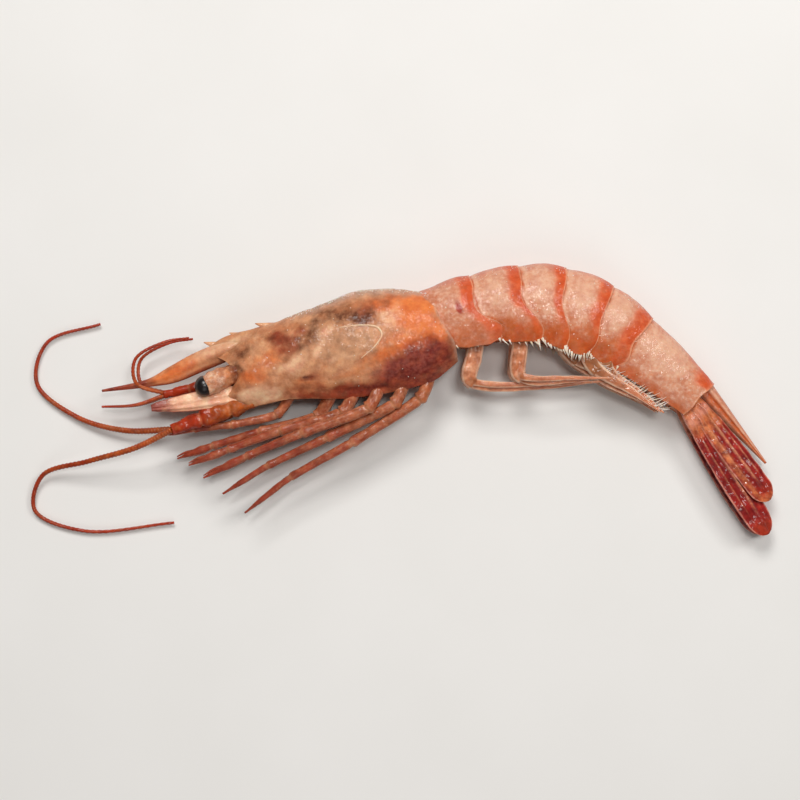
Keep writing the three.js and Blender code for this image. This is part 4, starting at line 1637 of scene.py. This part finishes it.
    def folded(
        self, root: Pair, outs: Sequence[float], lengths: Sequence[float], headings: Sequence[float],
        side: Side,
    ) -> Path:
        """Returns the line of a limb of straight articles.

        Args:
            root: Its root in the carapace's frame.
            outs: Distance of each joint from the middle plane.
            lengths: Length of each article.
            headings: Degrees downwards from straight ahead.
            side: The side that it is on.

        Returns:
            The line, which turns softly at its joints.
        """
        u, v = root
        points = [HEAD.spot((u, v, outs[0]), side)]
        for length, degrees, out in zip(lengths, headings, outs[1:]):
            u -= length * math.cos(math.radians(degrees))
            v -= length * math.sin(math.radians(degrees))
            points.append(HEAD.spot((u, v, out), side))
        return Path(tuple(points), tension=0.3)

    def leg(self, path: Path, radii: Pair, pincer: bool) -> Skin:
        """Draws a jointed leg.

        Args:
            path: Its line.
            radii: Radius at its root and at its tip.
            pincer: Whether it ends in two fingers.

        Returns:
            The leg's skin.
        """

        def half(place: float) -> Pair:
            """Returns the half sizes, with a knuckle before each joint and a pointed end.

            Args:
                place: Place along the leg.

            Returns:
                The half sizes along the head's upward direction and across it.
            """
            size = lerp(*radii, place) * lerp(1, 0.4, smooth(0.88, 1, place))
            knuckles = (0.22 * bell(place, at - 0.018, 0.02) for at in self.leg_joints)
            pinches = (0.2 * bell(place, at + 0.006, 0.008) for at in self.leg_joints)
            size *= 1 + sum(knuckles) - sum(pinches)
            if pincer:
                size *= 1 + 0.35 * bell(place, 0.84, 0.05)
            return size * 1.12, size * 0.92

        def paint(place: float, angle: float) -> list[float]:
            """Returns the leg's masks: its red end, its joints and its edges."""
            joint = max(bell(place, at, 0.018) for at in self.leg_joints)
            return [place, joint, 0.6 * abs(math.cos(angle)) ** 4]

        skin = Skin(Mark.ALONG, Mark.JOINT, Mark.EDGE)
        Rod(path, half, HEAD.up, rings=110, sides=14).draw(skin, paint)
        skin.relief(dents((2.2, 0.1), (0.9, 0.05)))
        if pincer:
            places = ((0.87, 0.35), (0.93, 0.75), (0.995, 0.5))
            finger = Path(tuple(path.at(place) + HEAD.up * lift for place, lift in places))
            rod = Rod(finger, lambda place: (lerp(0.45, 0.14, place),) * 2, HEAD.up, rings=12, sides=10)
            rod.draw(skin, lambda place, angle: [0.9, 0.0, 0.2])
        return skin

    def build_legs(self) -> None:
        """Builds the mouth limbs and the five pairs of walking legs."""
        for side in Side:
            outs = (self.mouth_out,) * (len(self.mouth_lengths) + 1)
            path = self.folded(self.mouth_root, outs, self.mouth_lengths, self.mouth_headings, side)
            skin = self.leg(path, radii=(1.1, 0.5), pincer=False)
            skin.finish(f"mouth_limb_{side.word}", Slot.LIMB, LEG_SHELL.material, f"maxilliped_{side.word}")
            sag = self.left_sag if side is Side.LEFT else 0.0
            for pair, out in enumerate(self.leg_outs):
                lengths = [length + pair * step for length, step in zip(self.leg_lengths, self.leg_steps)]
                outs = [min(out, self.leg_root_out), *(out - (i + 1) * sag for i in range(len(lengths)))]
                root = self.leg_root[0] + pair * self.leg_spacing, self.leg_root[1]
                path = self.folded(root, outs, lengths, self.leg_headings[pair], side)
                skin = self.leg(path, radii=(1.5, 0.5), pincer=pair < self.pincer_pairs)
                number = f"{side.word}_{pair + 1}"
                skin.finish(f"leg_{number}", Slot.LIMB, LEG_SHELL.material, f"walking_leg_{number}")


@dataclass(frozen=True)
class Swimmer:
    """The sizes of one pair of swimming limbs."""

    out: float
    place: float
    stem: float
    lean: float
    blade: float
    degrees: float
    bend: float
    shift: float
    spread: float = 1.0
    shade: float = 1.0


@dataclass(frozen=True)
class Pleopods:
    """Swimming limbs under the first five rings: a flat stem, then two thin blades that trail back."""

    abdomen: Abdomen
    limbs: tuple[Swimmer, ...] = (
        Swimmer(4.4, 0.72, 12.4, -27, 32, -1, 5, -1, shade=0),
        Swimmer(4.8, 0.6, 12.2, -14, 20, 0, 2, 0.9, shade=0),
        Swimmer(2.4, 0.5, 8.6, 36, 18, -29, 0, 0, 1.6),
        Swimmer(4.8, 0.5, 8.3, 42, 16, -31, -2, 0, 1.7),
        Swimmer(4.8, 0.5, 6.0, 42, 14, -32, -4, 0, 1.7),
    )
    root_depth: float = 0.74
    floor_gap: float = 0.35
    stem_half_width: float = 2.0
    stem_half_depth: float = 1.35
    turn: float = 2.4
    turn_drop: float = 1.44
    # The blades leave the limb's line at one place. For each: its offset across, and where it ends.
    blade_start: float = 0.4
    blade_ends: tuple[Pair, Pair] = ((0.45, 1.0), (-0.45, 0.93))
    blade_swing: float = 1.1
    blade_points: int = 10
    marks: tuple[Mark, ...] = (Mark.SHADE, Mark.ALONG, Mark.EDGE)

    def line(self, index: int, side: Side) -> Path:
        """Returns the middle line of a limb.

        Args:
            index: The pair, from 0.
            side: The side that it is on.

        Returns:
            The line from its root to its tip.
        """
        limb = self.limbs[index]
        ring = self.abdomen.section((index + limb.place) / self.abdomen.count)
        root = ring.dorsal.lerp(ring.ventral, self.root_depth)
        stem = turned(ring.down, limb.lean)
        start, end = heading(limb.degrees), heading(limb.degrees + limb.bend)
        knee = root + stem * limb.stem
        bend = knee + stem * self.turn_drop + start * self.turn
        middle = bend + start * (limb.blade / 2)
        tip = middle + end * (limb.blade / 2)
        room = ring.middle - self.floor_gap - self.stem_half_depth
        outs = [min(limb.out, room)] * 3 + [min(limb.out + limb.shift, room)] * 3
        flat = (root, root.lerp(knee, 0.55), knee, bend, middle, tip)
        return Path(tuple(p + ACROSS * (ring.middle + side.value * out) for p, out in zip(flat, outs)))

    def blade_line(self, path: Path, offset: float, end: float) -> Path:
        """Returns the line of a blade.

        Args:
            path: The limb's middle line.
            offset: How far the blade lies beside it.
            end: Where the blade ends along it.

        Returns:
            The line, which swings out and back.
        """
        points = []
        for number in range(self.blade_points):
            share = number / (self.blade_points - 1)
            place = lerp(self.blade_start, end, share)
            aside = turned(path.tangent(place), 90) * (self.blade_swing * offset * math.sin(math.pi * share))
            points.append(path.at(place) + ACROSS * offset + aside)
        return Path(tuple(points))

    def build(self) -> None:
        """Builds the limbs of both sides."""
        for side in Side:
            for index, limb in enumerate(self.limbs):
                number = f"{side.word}_{index + 1}"
                skin = self.draw(self.line(index, side), limb)
                skin.finish(f"swimmer_{number}", Slot.LIMB, PLEOPOD_SHELL.material, f"pleopod_{number}")

    def draw(self, path: Path, limb: Swimmer) -> Skin:
        """Draws the stem and both blades of a limb.

        Args:
            path: The limb's middle line.
            limb: Its sizes.

        Returns:
            The limb's skin.
        """

        def stem_half(place: float) -> Pair:
            """Returns the stem's half sizes, across the animal and along it."""
            full = math.sin(math.pi * min(0.96, 0.25 + place)) ** 0.6
            return self.stem_half_depth * full, self.stem_half_width * full

        def stem_hollow(place: float, across: float, along: float) -> Pair:
            """Returns the growth that leaves a raised edge on both sides of the stem."""
            return 1 - 0.28 * bell(along, 0, 0.45) + 0.1 * bell(abs(along), 0.7, 0.15), 1.0

        def stem_paint(place: float, angle: float) -> list[float]:
            """Returns the stem's masks."""
            return [limb.shade, 0.0, smooth(0.62, 0.9, abs(math.sin(angle)))]

        def blade_half(place: float) -> Pair:
            """Returns a blade's half thickness and half width."""
            return lerp(0.5, 0.12, place), lerp(limb.spread, 0.14, place**1.5)

        def blade_paint(place: float, angle: float) -> list[float]:
            """Returns a blade's masks."""
            return [limb.shade * (1 - place), place, smooth(0.5, 0.95, abs(math.sin(angle)))]

        skin = Skin(*self.marks)
        Rod(path, stem_half, ACROSS, rings=50, sides=32, end=0.5, swell=stem_hollow).draw(skin, stem_paint)
        for offset, end in self.blade_ends:
            line = self.blade_line(path, offset, end)
            Rod(line, blade_half, ACROSS, rings=60, sides=14).draw(skin, blade_paint)
        skin.relief(dents((2.6, 0.12), (1.1, 0.06)))
        return skin


@dataclass(frozen=True)
class Bristles:
    """Pale hairs along the lower edges of the rings and between the swimming limbs."""

    abdomen: Abdomen
    pleopods: Pleopods
    skin: Skin
    chance: random.Random
    counts: tuple[int, ...] = (3, 8, 10, 10, 8)
    # Rings whose rear corners have longer hairs, and pairs of swimming limbs that carry combs.
    corner_rings: tuple[int, ...] = (1, 2)
    comb_pairs: tuple[int, ...] = (2, 3, 4)
    comb_hairs: int = 34
    sunk: float = 0.4
    tip_radius: float = 0.04

    def hair(self, root: Vector, direction: Vector, length: float, radius: float) -> None:
        """Adds one pointed hair.

        Args:
            root: Where it starts.
            direction: Where it points.
            length: Its length.
            radius: Radius at its root.
        """
        way = direction.normalized()
        turn = way.to_track_quat("Z", "Y").to_matrix().to_4x4()
        place = Matrix.Translation(root + way * (length / 2)) @ turn
        bmesh.ops.create_cone(
            self.skin.mesh, cap_ends=True, segments=6, radius1=radius, radius2=self.tip_radius, depth=length,
            matrix=place,
        )

    def add_pleura(self, side: Side, index: int, share: float) -> None:
        """Adds a pointed bristle under the lower edge of a ring.

        Args:
            side: The side that it is on.
            index: The ring, from 0.
            share: Place along the ring's edge.
        """
        draw = self.chance.uniform
        along = lerp(0.1, 0.98, share)
        half = self.abdomen.arch.share * draw(0.95, 1.0)
        around = 1 - half / 2 if side is Side.LEFT else half / 2
        point, _ = self.abdomen.place(index, (along, 0.0), around)
        section = self.abdomen.section((index + along) / self.abdomen.count)
        way = section.down + turned(section.down, 90) * draw(0.1, 0.7)
        way = way - ACROSS * (side.value * draw(0, 0.25))
        corner = 1.4 if along > 0.8 and index in self.corner_rings else 1.0
        length = draw(1.2, 2.4) * corner * (0.6 if index == 0 else 1)
        self.hair(point - way.normalized() * self.sunk, way, length, draw(0.2, 0.38) * corner)

    def add_comb(self, path: Path) -> None:
        """Adds a comb of fine hairs along a swimming limb.

        Args:
            path: The limb's middle line.
        """
        draw = self.chance.uniform
        for number in range(self.comb_hairs):
            place = lerp(0.3, 0.97, number / (self.comb_hairs - 1))
            way = turned(path.tangent(place), draw(34, 68)) + ACROSS * draw(-0.1, 0.3)
            self.hair(path.at(place), way, draw(2.2, 3.8), draw(0.14, 0.22))

    def build(self) -> None:
        """Builds all the hairs as one piece."""
        for side in Side:
            for index, count in enumerate(self.counts):
                for number in range(count):
                    self.add_pleura(side, index, (number + self.chance.uniform(-0.2, 0.2)) / (count - 1))
        for side in Side:
            for index in self.comb_pairs:
                self.add_comb(self.pleopods.line(index, side))
        self.skin.finish("edge_bristles", Slot.LIMB, BRISTLE.material)


@dataclass(frozen=True)
class Frost:
    """Grains of frost that lie on the shell, thickest along the back."""

    carapace: Carapace
    abdomen: Abdomen
    trees: Sequence[BVHTree]
    skin: Skin
    chance: random.Random
    # Numbers of grains along the back of the head and of the rings, and over the side of both.
    head_ridge: int = 380
    ring_ridge: int = 120
    scattered: int = 40

    def grain(self, spot: Vector, size: float) -> None:
        """Adds one grain on the highest surface at a place, if there is one.

        Args:
            spot: The place; its height isn't used.
            size: Radius of the grain.
        """
        above = Vector((spot.x, spot.y, OVERHEAD))
        hits = [hit for hit in (tree.ray_cast(above, -ACROSS)[0] for tree in self.trees) if hit]
        if not hits:
            return
        top = max(hits, key=lambda hit: hit.z)
        stretch = Matrix.Diagonal([self.chance.uniform(0.6, 1.3) for _ in range(3)]).to_4x4()
        spin = Matrix.Rotation(self.chance.uniform(0, 6), 4, self.chance.choice("XYZ"))
        place = Matrix.Translation(top) @ stretch @ spin
        bmesh.ops.create_icosphere(self.skin.mesh, subdivisions=1, radius=size, matrix=place)

    def build(self) -> None:
        """Builds all the grains as one piece."""
        draw, gauss = self.chance.uniform, self.chance.gauss
        for _ in range(self.head_ridge):
            along = draw(0.3, 1.0)
            v = self.carapace.back.at(along) - abs(gauss(0, 0.4)) - 0.05
            self.grain(HEAD.point(along * self.carapace.length, v, 0), draw(0.05, 0.14))
        for _ in range(self.ring_ridge):
            ring = self.abdomen.section(draw(0.0, 0.8))
            self.grain(ring.dorsal.lerp(ring.ventral, abs(gauss(0, 0.05)) + 0.01), draw(0.05, 0.11))
        for _ in range(self.scattered):
            self.grain(HEAD.point(draw(2, 50), draw(-10, 10), 0), draw(0.06, 0.14))
        for _ in range(self.scattered):
            ring = self.abdomen.section(draw(0.02, 0.98))
            self.grain(ring.dorsal.lerp(ring.ventral, draw(0.05, 0.9)), draw(0.06, 0.14))
        self.skin.finish("frost_specks", Slot.RING_SHELL, FROST.material)


@dataclass(frozen=True)
class SoftLight:
    """A soft square light: its name, place and side in metres, and power in watts."""

    name: str
    place: tuple[float, float, float]
    size: float
    power: float


@dataclass(frozen=True)
class Studio:
    """A pale floor, soft lights and a camera that looks straight down."""

    floor_size: float = 3.0
    view_width: float = 0.196
    lens: float = 85.0
    sensor: float = 36.0
    room_colour: str = "#f4f2ef"
    room_strength: float = 0.14
    lights: tuple[SoftLight, ...] = (
        SoftLight("key_light", (-0.1, 0.5, 0.7), 0.3, 4.1),
        SoftLight("top_light", (0.1, 0.12, 0.9), 0.12, 1.8),
        SoftLight("side_light", (0.45, 0.3, 0.65), 0.25, 2.0),
        SoftLight("fill_light", (0.05, -0.5, 0.7), 0.5, 0.85),
    )

    def build(self) -> None:
        """Builds the floor, the lights and the camera."""
        floor = self.add("floor", self.floor_mesh())
        for light in self.lights:
            lamp = bpy.data.lights.new(light.name, "AREA")
            lamp.size = light.size
            lamp.energy = light.power
            shown = self.add(light.name, lamp)
            shown.location = light.place
            shown.rotation_euler = (-Vector(light.place)).to_track_quat("-Z", "Y").to_euler()
        world = bpy.data.worlds.new("soft_room")
        world.use_nodes = True
        background = world.node_tree.nodes["Background"]
        background.inputs["Color"].default_value = linear(self.room_colour)
        background.inputs["Strength"].default_value = self.room_strength
        view = bpy.data.cameras.new("camera")
        view.lens = self.lens
        view.sensor_width = self.sensor
        camera = self.add("camera", view)
        camera.location = (0, 0, self.view_width * self.lens / self.sensor)
        scene = bpy.context.scene
        scene.world = world
        scene.camera = camera
        scene.view_settings.view_transform = "Standard"

    def floor_mesh(self) -> bpy.types.Mesh:
        """Builds the floor.

        Returns:
            Its mesh, with its paint.
        """
        mesh = bmesh.new()
        bmesh.ops.create_grid(mesh, x_segments=1, y_segments=1, size=self.floor_size / 2)
        data = bpy.data.meshes.new("floor")
        mesh.to_mesh(data)
        mesh.free()
        data.materials.append(FLOOR_PAINT.material)
        return data

    def add(self, name: str, data: bpy.types.ID) -> bpy.types.Object:
        """Adds an object to the scene.

        Args:
            name: Its name.
            data: Its mesh, light or camera.

        Returns:
            The object.
        """
        thing = bpy.data.objects.new(name, data)
        bpy.context.scene.collection.objects.link(thing)
        return thing


def main() -> None:
    """Builds the shrimp and its studio, and logs each piece's faces and the solids still shown."""
    logging.basicConfig(level=logging.INFO, format="%(message)s")
    noise.seed_set(STAIN_SEED)
    carapace = Carapace()
    abdomen = Abdomen()
    pleopods = Pleopods(abdomen)
    limbs = HeadLimbs()
    trees = [carapace.build(), *abdomen.build()]
    TailFan(abdomen).build()
    limbs.build_eyes()
    limbs.build_feelers()
    limbs.build_legs()
    pleopods.build()
    Bristles(abdomen, pleopods, Skin(), random.Random(HAIR_SEED)).build()
    Frost(carapace, abdomen, trees, Skin(), random.Random(FROST_SEED)).build()
    Studio().build()
    shown = [name for name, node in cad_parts.items() if not node.hide_render]
    LOG.info("solids still shown: %s", shown)


if __name__ == "__main__":
    main()
